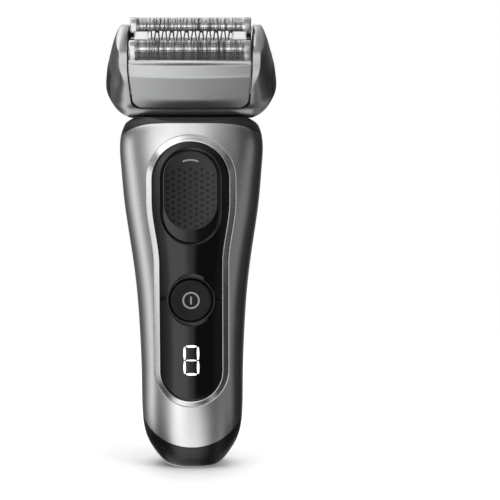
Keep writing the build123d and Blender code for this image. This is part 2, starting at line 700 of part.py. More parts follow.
def build_foil_unit(centre):
    """Arched foil sheet and the frame that holds it; centre is its y position."""
    legs = FOIL_ARC_T - FRAME_TOP
    sheet = side_prism(arch(FOIL_R, legs) - arch(FOIL_R - FOIL_THICK, legs), FOIL_HALF)
    ring = box((-FRAME_HALF, FRAME_HALF), (-4.3, 4.3), (FRAME_LOW, FRAME_TOP))
    ring -= box((-18.3, 18.3), (-3.2, 3.2), (FRAME_LOW - 1, FRAME_TOP + 1))
    cap = side_prism(arch(FOIL_R, legs), FRAME_HALF) & box((FOIL_HALF + 0.05, 30), (-9, 9), (0, 40))
    ring += both_sides(cap)
    return HEAD * Pos(0, centre, 0) * sheet, HEAD * Pos(0, centre, 0) * ring


def build_cutter(centre):
    """Row of arched blades on a plastic carrier with a socket for the drive post."""
    blade = arch(FOIL_R - FOIL_THICK - 0.08, 0.6) - arch(2.4, 0.6)
    foot = Pos(0, 21.7) * Rectangle(5.6, 2.0)
    drawn = blade + foot
    blades = []
    count = int(CUTTER_HALF / CUTTER_PITCH)
    for i in range(-count, count + 1):
        x = i * CUTTER_PITCH
        plane = Plane(origin=(x - CUTTER_BLADE / 2, 0, 0), x_dir=(0, 1, 0), z_dir=(1, 0, 0))
        blades.append(extrude(plane * drawn, amount=CUTTER_BLADE))
    row = box((-CUTTER_HALF - 0.2, CUTTER_HALF + 0.2), (-1.2, 1.2), (20.4, 21.2)) + blades
    carrier = box((-15, 15), (-2.4, 2.4), (18.2, 20.4)) + rod(2.5, (0, 0, 9), (0, 0, 18.2))
    carrier -= rod(POST_R + RUN, (0, 0, 8), (0, 0, 17.4))
    return HEAD * Pos(0, centre, 0) * row, HEAD * Pos(0, centre, 0) * carrier


def build_middle():
    """Long-hair trimmer between the foils: slotted guard, toothed blade and its carrier."""
    half, deep = GUARD_HALF
    guard = box((-half, half), (-deep, deep), GUARD_T)
    guard -= box((-15.1, 15.1), (-deep + 0.5, deep - 0.5), (GUARD_T[0] - 1, GUARD_T[1] - 0.4))
    for i in range(-9, 10):
        x = i * TOOTH_PITCH
        guard -= box((x - 0.4, x + 0.4), (-3, 0.5), (22.0, 25))
        if abs(x + TOOTH_PITCH / 2) < 14.6:
            guard -= box((x + TOOTH_PITCH / 2 - 0.3, x + TOOTH_PITCH / 2 + 0.3), (1.1, 3), (22.0, 25))
    blade = box((-13.6, 13.6), (-1.5, 1.5), (20.4, 22.0))
    for i in range(-8, 9):
        blade += box((i * TOOTH_PITCH - 0.45, i * TOOTH_PITCH + 0.45), (-1.5, 1.5), (22.0, 23.9))
    carrier = box((-3, 3), (-1.5, 1.5), (17.6, 20.4)) + rod(2.1, (0, 0, 9), (0, 0, 17.6))
    carrier -= rod(POST_R + RUN, (0, 0, 8), (0, 0, 17.4))
    return HEAD * guard, HEAD * blade, HEAD * carrier


# ---------------------------------------------------------------- the parts
def build_all():
    parts = {}
    parts["front_shell"], rear = build_shells()
    floor, slide, comb, blade = build_trimmer()
    rear = rear - trimmer_pocket() + floor
    parts["rear_shell"] = rear
    parts["bezel"] = build_bezel()
    parts["inlay_panel"], parts["display_window"], parts["display_segments"] = build_inlay()
    parts["button_ring"], parts["power_button"], parts["power_symbol"], face_y = build_button()
    parts["lock_pad"], parts["lock_mark"], parts["lock_bar"] = build_lock()
    parts["collar"] = build_collar()
    parts["neck_arms"], parts["pivot_pins"] = build_arms()
    parts["neck_seal"] = build_neck_seal()
    parts["base_band"], parts["base_seal"], parts["base_cap"], parts["contact_pins"] = build_foot()
    parts["chassis"] = build_chassis()
    parts["pcb"] = build_pcb()
    parts["pcb_screws"] = build_pcb_screws()
    parts["tact_switch"], parts["button_seal"] = build_switch()
    parts["display_module"] = box((-6.5, 6.5), (-11.0, -9.3), (DIGIT_Z - 8, DIGIT_Z + 8))
    parts["battery"], parts["battery_tabs"] = build_battery()
    motor = build_motor()
    motor_names = ("motor_yoke", "motor_coil", "motor_springs", "armature", "magnets", "drive_pin")
    parts.update(zip(motor_names, motor))
    parts["trimmer_slide"], parts["trimmer_comb"], parts["trimmer_blade"] = slide, comb, blade
    parts["head_frame"] = build_head_frame()
    parts["lock_sector"] = build_sector()
    parts["drive_bridge"], parts["post_springs"] = build_bridge()
    parts["release_left"] = build_release(-1)
    parts["release_right"] = build_release(1)
    parts["cassette_shell"], parts["cassette_core"] = build_cassette()
    for name, centre in (("front", -FOIL_S), ("rear", FOIL_S)):
        parts[name + "_foil"], parts[name + "_foil_frame"] = build_foil_unit(centre)
        parts[name + "_blades"], parts[name + "_carrier"] = build_cutter(centre)
    parts["middle_guard"], parts["middle_blade"], parts["middle_carrier"] = build_middle()
    return parts


os.makedirs("parts", exist_ok=True)
for name, solid in build_all().items():
    export_step(solid, f"parts/{name}.step")
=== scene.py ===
import json
import math
import bpy
import bmesh
import numpy as np
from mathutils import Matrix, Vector


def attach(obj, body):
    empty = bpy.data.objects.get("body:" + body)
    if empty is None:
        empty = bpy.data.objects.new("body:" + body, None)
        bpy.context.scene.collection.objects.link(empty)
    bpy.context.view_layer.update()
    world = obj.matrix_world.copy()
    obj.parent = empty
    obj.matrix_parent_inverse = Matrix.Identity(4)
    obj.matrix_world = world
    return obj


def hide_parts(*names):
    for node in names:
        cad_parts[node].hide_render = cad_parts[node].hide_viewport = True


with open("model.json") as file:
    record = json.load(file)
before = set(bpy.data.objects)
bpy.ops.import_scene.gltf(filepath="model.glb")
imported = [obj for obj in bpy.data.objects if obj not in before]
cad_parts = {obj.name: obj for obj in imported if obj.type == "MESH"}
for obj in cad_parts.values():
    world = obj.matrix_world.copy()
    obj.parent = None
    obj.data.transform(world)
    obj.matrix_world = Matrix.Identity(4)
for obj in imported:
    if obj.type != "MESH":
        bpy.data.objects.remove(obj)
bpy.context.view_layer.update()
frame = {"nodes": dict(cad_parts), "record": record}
nodes = frame["nodes"]
SLOTS = {entry["node"]: entry["material_slot"] for entry in frame["record"]["subparts"]}
MM = 0.001
FRONT, BACK = (0, -1, 0), (0, 1, 0)
PIVOT = np.array([0.0, 2.0, 133.0])         # the head's tilt axis
LEAN = math.radians(31.0)                   # the head leans forward
FOIL_S, FOIL_R, FOIL_T = 6.7, 3.8, 22.1     # foils: distance from the middle, radius and height of the arch's centre


# ------------------------------------------------------------------ node helpers
def rgb(colour):
    return tuple(np.broadcast_to(colour, 3).tolist())


class Net:
    """Node tree with short calls. A value is a constant or another node's output."""

    def __init__(self, tree):
        self.tree = tree
        tree.nodes.clear()

    def put(self, socket, value):
        if isinstance(value, bpy.types.NodeSocket):
            self.tree.links.new(value, socket)
        elif socket.type == "RGBA":
            socket.default_value = (*rgb(value), 1)
        else:
            socket.default_value = value

    def add(self, kind, inputs=None, **settings):
        node = self.tree.nodes.new("ShaderNode" + kind)
        for key, value in settings.items():
            setattr(node, key, value)
        for key, value in (inputs or {}).items():
            self.put(node.inputs[key], value)
        return node

    def ramp(self, value, low, high, a=0.0, b=1.0):
        """a at low, b at high, clamped."""
        return self.add("MapRange", {0: value, 1: low, 2: high, 3: a, 4: b}).outputs[0]

    def mix(self, fac, a, b):
        return self.add("Mix", data_type="RGBA", inputs={0: fac, 6: a, 7: b}).outputs[2]

    def math(self, op, a, b=0.0):
        return self.add("Math", {0: a, 1: b}, operation=op).outputs[0]

    def dot(self, a, b):
        return self.add("VectorMath", {0: a, 1: b}, operation="DOT_PRODUCT").outputs["Value"]

    def greys(self, value, stops):
        """Grey levels at places from 0 to 1."""
        node = self.add("ValToRGB", {0: value})
        band = node.color_ramp.elements
        while len(band) < len(stops):
            band.new(0.5)
        for element, (place, level) in zip(band, stops):
            element.position = place
            element.color = (level, level, level, 1)
        return node.outputs[0]


class Finish(Net):
    """Material round one principled shader."""

    def __init__(self, name):
        self.mat = bpy.data.materials.new(name)
        self.mat.use_nodes = True
        super().__init__(self.mat.node_tree)
        self.bsdf = self.add("BsdfPrincipled")
        self.out = self.add("OutputMaterial", {0: self.bsdf.outputs[0]})
        self.coords = self.add("TexCoord").outputs["Object"]

    def set(self, **values):
        for key, value in values.items():
            self.put(self.bsdf.inputs[key.replace("_", " ")], value)

    def stretch(self, x, y, z):
        return self.add("Mapping", {"Vector": self.coords, "Scale": (x, y, z)}).outputs[0]

    def noise(self, scale, detail=3.0, vector=None, rough=0.55):
        return self.add("TexNoise", {"Vector": vector or self.coords, "Scale": scale, "Detail": detail,
                                     "Roughness": rough}).outputs["Fac"]

    def bump(self, height, distance):
        self.set(Normal=self.add("Bump", {"Height": height, "Strength": 1.0, "Distance": distance}).outputs[0])

    def edges(self, radius):
        """1 near sharp edges, 0 on open faces."""
        rounded = self.add("Bevel", {"Radius": radius}, samples=4).outputs[0]
        return self.ramp(self.dot(rounded, self.add("NewGeometry").outputs["Normal"]), 0.99, 0.85)


# ------------------------------------------------------------------ finishes
def coated(name, base, metal, rough, grain, depth, spread, tint, wear=None, spec=0.5, painted_sheen=None):
    """Moulded, painted or metal finish: fine grain, roughness clouds, slight colour drift, worn edges and an optional
    painted sheen towards +X.
    """
    t = Finish(name)
    clouds = t.noise(60.0, 4.0)
    fine = t.noise(grain, 2.0)
    dark = tuple(c * (1 - tint) for c in rgb(base))
    light = tuple(min(1.0, c * (1 + tint)) for c in rgb(base))
    colour = t.mix(t.ramp(clouds, 0.3, 0.7), dark, light)
    if painted_sheen:   # painted sheen: paler towards +X, as if lit from that side
        across = t.add("SeparateXYZ", {0: t.coords}).outputs[0]
        colour = t.mix(t.ramp(across, -0.007, 0.009), colour, painted_sheen)
    if wear:
        amount = t.math("MULTIPLY", t.edges(0.00035), t.ramp(t.noise(900.0), 0.35, 0.7, 0.0, 0.75))
        colour = t.mix(amount, colour, wear)
    both = t.math("ADD", t.ramp(clouds, 0.25, 0.75, rough - spread, rough + spread),
                  t.ramp(fine, 0.3, 0.7, -spread * 0.5, spread * 0.5))
    t.set(Base_Color=colour, Metallic=metal, Specular_IOR_Level=spec, Roughness=both)
    t.bump(fine, depth * 1e-5)
    return t.mat


def brushed(name, base, rough, along, depth):
    """Metal with fine lines along one axis."""
    t = Finish(name)
    lines = t.noise(1.0, 3.0, t.stretch(*(40 if axis == along else 2600 for axis in "xyz")))
    uneven = t.math("ADD", t.ramp(lines, 0.3, 0.7, rough - 0.05, rough + 0.06),
                    t.ramp(t.noise(150.0), 0.3, 0.7, -0.03, 0.03))
    colour = t.mix(t.ramp(lines, 0.3, 0.7), tuple(c * 0.82 for c in rgb(base)), base)
    t.set(Base_Color=colour, Metallic=1.0, Roughness=uneven)
    t.bump(lines, depth * 1e-5)
    return t.mat


def streaked(name, dark, light, rough):
    """Thin sheet in painted light and shade: darker and lighter bars across it where the cutters below would show, and
    painted highlight rows by height over the arch.
    """
    t = Finish(name)
    # painted light and shade: bars across the sheet standing in for the cutters seen through it
    bars = t.noise(1.0, 4.0, t.stretch(1100, 30, 30), 0.8)
    fine = t.noise(2600.0, 2.0)
    height = t.dot(t.coords, (0, -math.sin(LEAN), math.cos(LEAN)))
    foot = (PIVOT[2] * math.cos(LEAN) - PIVOT[1] * math.sin(LEAN) + FOIL_T) * MM
    # painted highlight: bright rows by height over the arch, dark low on the flanks
    rows = t.greys(t.ramp(height, foot, foot + FOIL_R * MM),
                   [(0, 0.16), (0.5, 0.2), (0.62, 1), (0.76, 1), (0.84, 0.35), (0.92, 0.5), (0.97, 1), (1, 1)])
    colour = t.mix(t.ramp(bars, 0.42, 0.58), dark, t.mix(rows, 0.05, light))
    t.set(Base_Color=colour, Metallic=1.0, Roughness=t.ramp(fine, 0.3, 0.7, rough - 0.05, rough + 0.08))
    t.bump(fine, 0.2e-5)
    return t.mat


def glowing(name, colour, strength):
    t = Finish(name)
    cells = t.noise(1800.0, 2.0)
    t.set(Base_Color=t.mix(cells, tuple(c * 0.9 for c in colour), colour), Emission_Color=colour, Roughness=0.35,
          Emission_Strength=t.ramp(cells, 0.2, 0.8, strength * 0.9, strength * 1.1))
    return t.mat


MAT = {name: coated(name, *row) for name, row in {
    # colour, metallic, roughness, grain scale and depth (0.01 mm), spread, tint, worn edges, specular, painted sheen
    # (paler towards +X)
    "satin_silver": ((0.50, 0.505, 0.50), 1.0, 0.25, 3200, 0.3, 0.03, 0.03, 0.75),
    "head_silver": ((0.44, 0.445, 0.45), 1.0, 0.34, 3200, 0.3, 0.03, 0.03, 0.75),
    "skirt_silver": ((0.44, 0.445, 0.45), 1.0, 0.36, 3200, 0.3, 0.03, 0.03, 0.75),
    "frame_silver": ((0.50, 0.50, 0.49), 1.0, 0.28, 3000, 0.3, 0.03, 0.04, 0.75),
    "tooth_steel": ((0.75, 0.75, 0.74), 0.45, 0.3, 3000, 0.3, 0.04, 0.05),
    "dark_plastic": ((0.014, 0.014, 0.015), 0.0, 0.35, 2600, 0.8, 0.05, 0.15, 0.05),
    "gloss_black": ((0.0012, 0.0012, 0.0014), 0.0, 0.05, 4000, 0.05, 0.02, 0.1, None, 0.32),
    "satin_black": ((0.012, 0.012, 0.013), 0.0, 0.32, 2600, 0.6, 0.05, 0.15, 0.05),
    "button_black": ((0.004, 0.004, 0.0045), 0.0, 0.42, 2600, 0.5, 0.04, 0.15, None, 0.2),
    "soft_black": ((0.016, 0.016, 0.017), 0.0, 0.55, 2000, 1.4, 0.06, 0.15, 0.05),
    "cap_black": ((0.004, 0.004, 0.0045), 0.0, 0.16, 2600, 0.4, 0.04, 0.15, 0.05, 0.35),
    # charcoal's last value is a painted sheen: the lock pad turns paler towards +X, as if lit from the right
    "charcoal": ((0.005, 0.005, 0.0053), 0.0, 0.45, 2600, 0.9, 0.05, 0.15, 0.07, 0.22, 0.04),
    "grey_mark": (0.26, 0.0, 0.4, 3000, 0.3, 0.05, 0.05),
    "rubber": (0.02, 0.0, 0.65, 1500, 1.6, 0.05, 0.2),
    "board_green": ((0.02, 0.13, 0.05), 0.0, 0.35, 1500, 0.8, 0.05, 0.2),
    "battery_wrap": ((0.04, 0.12, 0.30), 0.0, 0.3, 900, 0.6, 0.06, 0.15, (0.3, 0.35, 0.4)),
    "gold_contact": ((0.85, 0.62, 0.28), 1.0, 0.25, 2600, 0.3, 0.05, 0.08),
    "dark_grey": ((0.06, 0.06, 0.062), 0.35, 0.3, 2600, 0.5, 0.05, 0.1, 0.16),
    "nickel": ((0.62, 0.60, 0.56), 1.0, 0.25, 2000, 0.4, 0.06, 0.08),
}.items()}
MAT.update({name: brushed(name, *row) for name, row in {
    # the blade steel is near-black (0.03): painted shade, so the holes over the cutters and the gap under the middle
    # guard read dark
    "bright_bezel": (0.80, 0.2, "x", 0.2), "shade_dark_blade_steel": (0.03, 0.4, "y", 0.3),
    "brushed_steel": (0.60, 0.3, "x", 0.4), "copper_wire": ((0.72, 0.36, 0.18), 0.3, "x", 1.5),
}.items()})
MAT["lit_white"] = glowing("lit_white", (0.86, 0.90, 0.93), 0.85)
# foil colour carries painted highlight rows and painted bars of light and shade
MAT["foil_steel"] = streaked("foil_steel", 0.07, (0.9, 0.9, 0.89), 0.24)

BY_SLOT = {
    "silver_shell": "satin_silver", "silver_head": "head_silver", "black_soft": "soft_black",
    "black_plastic": "satin_black", "black_gloss": "gloss_black", "steel": "brushed_steel",
    "green_board": "board_green", "copper": "copper_wire", "gold": "gold_contact"}
BY_NODE = {"front_blades": "shade_dark_blade_steel", "rear_blades": "shade_dark_blade_steel", "base_cap": "cap_black",
           "base_band": "cap_black"}
for node_name, slot_name in SLOTS.items():
    obj = nodes[node_name]
    if not obj.material_slots:
        obj.data.materials.append(None)
    for place in obj.material_slots:
        place.material = MAT[BY_NODE.get(node_name, BY_SLOT.get(slot_name, slot_name))]


# ------------------------------------------------------------------ handle surface, in millimetres
STATIONS = np.array([       # height, half width, front y, back y
    (0.0, 7.8, -6.8, 7.0), (1.5, 10.3, -8.6, 8.5), (4.6, 12.9, -10.2, 9.8), (9.0, 15.6, -11.4, 10.9),
    (13.5, 17.1, -12.1, 11.7), (20.0, 17.8, -12.8, 12.5), (33.0, 18.0, -13.7, 13.5), (48.5, 18.5, -14.6, 14.7),
    (65.0, 19.6, -15.1, 15.8), (80.0, 21.5, -15.1, 16.4), (95.0, 23.6, -14.7, 16.5), (108.0, 24.7, -13.8, 16.0),
    (117.0, 24.8, -12.7, 15.2), (121.5, 23.4, -11.9, 14.7), (125.0, 20.9, -10.8, 14.3), (131.0, 15.0, -8.0, 13.6)])
MID_Y = -1.0                # widest line of every section
PARTING_Y, SEAM = -2.0, 0.06
FRONT_POWER, BACK_POWER = 2.7, 2.3
INLAY_RISE, BEZEL_W = 0.8, 2.3
BUTTON_Z, BUTTON_HOLE_R = 62.0, 8.4
FOOT_X, FOOT_Z, FOOT_RISE = 17.9, 8.2, 10.7     # arc of the shells' lower edge


def natural_cubic(xs, ys):
    """Natural cubic spline through the points, as a vectorised function."""
    n = len(xs)
    h = np.diff(xs)
    a = np.zeros((n, n))
    r = np.zeros(n)
    a[0, 0] = a[-1, -1] = 1.0
    for i in range(1, n - 1):
        a[i, i - 1:i + 2] = h[i - 1], 2 * (h[i - 1] + h[i]), h[i]
        r[i] = 6 * ((ys[i + 1] - ys[i]) / h[i] - (ys[i] - ys[i - 1]) / h[i - 1])
    m = np.linalg.solve(a, r)

    def value(x):
        x = np.asarray(x, float)
        i = np.clip(np.searchsorted(xs, x) - 1, 0, n - 2)
        t0, t1 = x - xs[i], xs[i + 1] - x
        return ((m[i] * t1 ** 3 + m[i + 1] * t0 ** 3) / (6 * h[i]) + (ys[i] / h[i] - m[i] * h[i] / 6) * t1
                + (ys[i + 1] / h[i] - m[i + 1] * h[i] / 6) * t0)

    return value


width_at, front_at, back_at = (natural_cubic(STATIONS[:, 0], STATIONS[:, k]) for k in (1, 2, 3))


def girth_table(power, wide=20.0, deep=13.5):
    """Distance along a half section against its normalised x and y."""
    t = np.linspace(0, math.pi / 2, 20001)
    s, c = np.sin(t) ** (2 / power), np.cos(t) ** (2 / power)
    run = np.concatenate([[0], np.cumsum(np.hypot(np.diff(wide * s), np.diff(deep * c)))])
    return run / run[-1], s, c


TABLES = {True: girth_table(FRONT_POWER), False: girth_table(BACK_POWER)}


def on_skin(az, grow=0.0, front=True):
    """Points of the handle's surface: a runs -1..1 across the half section, z is the height."""
    a, z = az.T
    run, s, c = TABLES[front]
    x = (width_at(z) + grow) * np.sign(a) * np.interp(np.abs(a), run, s)
    reach = front_at(z) - MID_Y - grow if front else back_at(z) - MID_Y + grow
    return np.stack([x, MID_Y + reach * np.interp(np.abs(a), run, c), z], -1)


def unrolled(xz, front=True):
    """(x, z) on the surface as (a, z)."""
    x, z = xz.T
    run, s, _ = TABLES[front]
    return np.stack([np.sign(x) * np.interp(np.clip(np.abs(x) / width_at(z), 0, 1), s, run), z], -1)


def parting_run(z):
    """Where the front half section meets the parting plane."""
    run, _, c = TABLES[True]
    deep = np.clip((MID_Y - PARTING_Y + SEAM) / (MID_Y - front_at(z)), 0, 1)
    return float(np.interp(deep, c[::-1], run[::-1]))


def on_front(xz, rise=0.0):
    """Points of the front surface over (x, z)."""
    xz = np.asarray(xz, float)
    x, z = xz[..., 0], xz[..., 1]
    share = np.clip(np.abs(x) / (width_at(z) + rise), 0, 1)
    y = MID_Y - (MID_Y - front_at(z) + rise) * (1 - share ** FRONT_POWER) ** (1 / FRONT_POWER)
    return np.stack([x, y, z], -1)


# ------------------------------------------------------------------ mesh helpers
def grid_faces(rows, cols, wrap=False):
    faces = []
    for r in range(rows - 1):
        for c in range(cols if wrap else cols - 1):
            d = (c + 1) % cols
            faces.append((r * cols + c, r * cols + d, (r + 1) * cols + d, (r + 1) * cols + c))
    return faces


class Parts:
    """Vertices and faces gathered in millimetres before they become one object."""

    def __init__(self):
        self.verts, self.faces = [], []

    def add(self, verts, faces):
        start = len(self.verts)
        self.verts.extend(verts)
        self.faces.extend(tuple(start + k for k in face) for face in faces)
        return start

    def grid(self, rows, wrap=False, flip=False, cap=False):
        """Skin through equally long rows of points; cap closes the last one."""
        cols = len(rows[0])
        faces = grid_faces(len(rows), cols, wrap)
        if cap:
            faces.append(range((len(rows) - 1) * cols, len(rows) * cols))
        return self.add([p for row in rows for p in row], [f[::-1] for f in faces] if flip else faces)

    def slab(self, near, far):
        """Flat face with walls back to a second outline."""
        n = len(near)
        walls = [(i, (i + 1) % n, n + (i + 1) % n, n + i) for i in range(n)]
        return self.add([*near, *far], [range(n)] + walls)


def leaned(points):
    """Head coordinates to the shared frame, in millimetres."""
    x, y, t = np.moveaxis(np.asarray(points, float), -1, 0)
    return np.stack([x, y * math.cos(LEAN) - t * math.sin(LEAN), y * math.sin(LEAN) + t * math.cos(LEAN)], -1) + PIVOT


def piece(name, parts, mat, body, node=None, facing=None, sharp=38.0, slot=None, lean=False):
    """Mesh object riding on a body; node is the sub-part it stands for."""
    mesh = bpy.data.meshes.new(name)
    verts = leaned(parts.verts) if lean else np.asarray(parts.verts, float)
    mesh.from_pydata((verts * MM).tolist(), [], parts.faces)
    mesh.update()
    if facing:
        total = sum((p.normal * p.area for p in mesh.polygons), Vector())
        if total.dot(Vector(facing)) < 0:
            mesh.flip_normals()
    else:
        bm = bmesh.new()
        bm.from_mesh(mesh)
        bmesh.ops.recalc_face_normals(bm, faces=bm.faces)
        bm.to_mesh(mesh)
        bm.free()
    mesh.polygons.foreach_set("use_smooth", [True] * len(mesh.polygons))
    mesh.set_sharp_from_angle(angle=math.radians(sharp))
    mesh.materials.append(MAT[mat])
    obj = bpy.data.objects.new(name, mesh)
    bpy.context.scene.collection.objects.link(obj)
    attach(obj, body)
    if node:
        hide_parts(node)


def skinned(name, rows, mat, body, node=None, wrap=True, cap=False, **kw):
    parts = Parts()
    parts.grid(rows, wrap, cap=cap)
    piece(name, parts, mat, body, node, **kw)


def resample(points, count, closed=True):
    """Points spread evenly along a path."""
    pts = np.asarray(points, float)
    if closed:
        pts = np.vstack([pts, pts[:1]])
    run = np.concatenate([[0], np.cumsum(np.hypot(*np.diff(pts, axis=0).T))])
    at = np.linspace(0, run[-1], count, endpoint=not closed)
    return np.stack([np.interp(at, run, pts[:, 0]), np.interp(at, run, pts[:, 1])], -1)


def arc(cx, cz, r, start, end, n=96):
    t = np.radians(np.linspace(start, end, n))
    return [(cx + r * math.cos(v), cz + r * math.sin(v)) for v in t]


def between(outer, inner, steps):
    """Rows from one outline towards another with the same count."""
    return [outer + (inner - outer) * t for t in steps]


def keyhole_half(grow):
    """Right half of the inlay's outline from the top down, as (x, z)."""
    low, top = 10.8 + grow, 13.3 + grow
    pts = arc(0, 104.0, top, 90, 0)
    pts += [(top, z) for z in np.linspace(103.5, 96.5, 12)]
    for t in np.linspace(0, 1, 60)[1:]:
        pts.append((top + (low - top) * smooth01(t), 96.5 + (74.4 - 96.5) * t))
    pts += [(low, z) for z in np.linspace(74.0, 36.8, 60)]
    return pts + arc(0, 36.4, low, 0, -90)


def mirrored(right):
    """Closed outline from its right half, top to bottom."""
    left = [(-x, z) for x, z in right[::-1]]
    return right + left[1:-1]


def keyhole(grow, count):
    return resample(mirrored(keyhole_half(grow)), count)


def stadium(half, low, high, count):
    return resample(mirrored(arc(0, high - half, half, 90, 0) + arc(0, low + half, half, 0, -90)), count)


def smooth01(v):
    v = np.clip(v, 0, 1)
    return v * v * (3 - 2 * v)


# ------------------------------------------------------------------ handle pieces
def crown_z(x):
    """Height of both shells' upper edge over x."""
    share = np.abs(x) / 24.4
    return 123.4 - 0.3 * share ** 2 - 4.9 * share ** 5


def shell_outline(front, count):
    """Outline of a half shell in (a, z): crown, parting line, foot arc."""
    limit = parting_run if front else lambda z: 1.0

    def until_limit(x, z):
        return [(a, h) for a, h in unrolled(np.stack([x, z], -1), front) if a < limit(h) - 0.002]

    x = np.linspace(0, 24.4 if front else 24.2, 90)
    crown = until_limit(x, crown_z(x))
    x = np.linspace(0, FOOT_X - 0.15, 80)
    radius = (FOOT_X ** 2 + FOOT_RISE ** 2) / (2 * FOOT_RISE)
    foot = until_limit(x, FOOT_Z + radius - np.sqrt(radius ** 2 - x ** 2))
    heights = np.linspace(crown[-1][1] - (0.4 if front else 0.3), foot[-1][1] + 0.3, 160)
    right = crown + [(limit(z), z) for z in heights] + foot[::-1]
    half_girth = 30.0       # scales a to millimetres for even spacing
    return resample(mirrored([(a * half_girth, z) for a, z in right]), count) / (half_girth, 1.0)


def build_front_shell():
    count = 560
    outer = shell_outline(True, count)
    inner = unrolled(keyhole(BEZEL_W + 0.1, count))
    rows = [on_skin(outer, -1.4), on_skin(outer, -0.12)]
    rows += [on_skin(row) for row in between(outer, inner, [0.004, *np.linspace(0.012, 0.988, 56), 0.996])]
    rows += [on_skin(inner, -0.1), on_skin(inner, -1.4)]
    skinned("front_shell_skin", rows, "satin_silver", "handle", "front_shell", facing=FRONT)


def build_apron():
    """Dark band behind the front shell's top edge, closing it against the collar."""
    x = np.linspace(-24.2, 24.2, 160)
    rows = [on_skin(unrolled(np.stack([x, np.minimum(crown_z(x) + rise, 123.9)], -1)), -0.16)
            for rise in (-1.2, 0.0, 0.8, 1.6)]
    skinned("collar_apron", rows, "dark_plastic", "handle", wrap=False, facing=FRONT)


def build_bezel():
    profile = [(BEZEL_W + 0.04, -1.3), (BEZEL_W + 0.04, -0.22), (BEZEL_W - 0.03, -0.17), (BEZEL_W * 0.75, 0.12),
               (BEZEL_W * 0.5, 0.42), (0.46, 0.82), (0.36, 0.88), (0.24, 0.9), (0.15, 0.86), (0.11, 0.78), (0.11, -1.3)]
    rows = [on_front(keyhole(grow, 720), rise) for grow, rise in profile]
    skinned("bezel_ring", rows, "bright_bezel", "handle", "bezel", facing=FRONT, sharp=30)


def build_upper_panel():
    """Upper inlay from the crown down to the split and round the button, with the recess for the pad."""
    count = 640
    split = BUTTON_Z + SEAM
    right = [p for p in keyhole_half(-0.02) if p[1] > split + 0.04] + [(10.78, split)]
    right += [(x, split) for x in np.linspace(10.6, 8.5, 8)]
    right += arc(0, BUTTON_Z, BUTTON_HOLE_R, math.degrees(math.asin(SEAM / BUTTON_HOLE_R)), 90, 60)
    outer = resample(mirrored(right), count)
    middle = outer * 0.985 + (0, 90.0 * 0.015)
    lip = stadium(10.75, 81.7, 115.3, count)
    inner = stadium(9.85, 82.1, 114.3, count)
    floor = stadium(6.5, 88.0, 108.0, count)
    rows = [on_front(outer, -1.2), on_front(outer, 0.6), on_front(middle, 0.76)]
    rows += [on_front(row, INLAY_RISE) for row in between(middle, lip, np.linspace(0.08, 1.0, 30))]
    rows += [on_front(lip + (inner - lip) * t, INLAY_RISE - 0.42 * t ** 1.6) for t in np.linspace(0.1, 1.0, 10)]
    rows += [on_front(inner, -0.1), on_front(stadium(9.7, 82.25, 114.15, count), -0.85), on_front(floor, -0.9),
             on_front(floor * 0.3 + (0, 98.0 * 0.7), -0.9)]
    skinned("upper_panel_gloss", rows, "gloss_black", "handle", "inlay_panel", facing=FRONT, cap=True, sharp=32)


def build_window():
    """Glossy lower window: rows run from the button ring out to the bezel."""
    cols = 220
    right = [(10.78, BUTTON_Z - SEAM)] + [p for p in keyhole_half(-0.02) if p[1] < BUTTON_Z - 0.1]
    outer = resample([(-x, z) for x, z in right] + right[-2::-1], cols, closed=False)
    inner = resample(arc(0, BUTTON_Z, BUTTON_HOLE_R, 180.4, 359.6, 200), cols, closed=False)
    rows = [on_front(inner, -1.2), on_front(inner, 0.6)]
    rows += [on_front(row, INLAY_RISE) for row in between(inner, outer, np.linspace(0.02, 0.985, 60))]
    rows += [on_front(outer, 0.64), on_front(outer, -1.2)]
    skinned("display_gloss", rows, "gloss_black", "handle", "display_window", wrap=False, facing=FRONT, sharp=32)


def build_digit():
    """Seven lens-shaped segments with blunt ends."""
    parts = Parts()
    bars = [(0, k * 5.05, False) for k in (-1, 0, 1)]
    bars += [(sx * 2.35, sz * 2.53, True) for sx in (-1, 1) for sz in (-1, 1)]
    for cx, cz, upright in bars:
        length = 4.6 if upright else 3.7
        thick = 0.86 if upright or cz else 0.55
        t = np.linspace(-1, 1, 21)
        edge = np.stack([length / 2 * t, thick / 2 * (1 - 0.55 * np.abs(t) ** 2.4)], -1)
        outline = np.concatenate([edge, -edge])
        if upright:
            outline = outline[:, ::-1] * (1, -1)
        outline = outline + (cx, 40.5 + cz)
        parts.slab(on_front(outline, INLAY_RISE + 0.035), on_front(outline, INLAY_RISE - 0.3))
    piece("display_digit", parts, "lit_white", "handle", "display_segments", facing=FRONT)


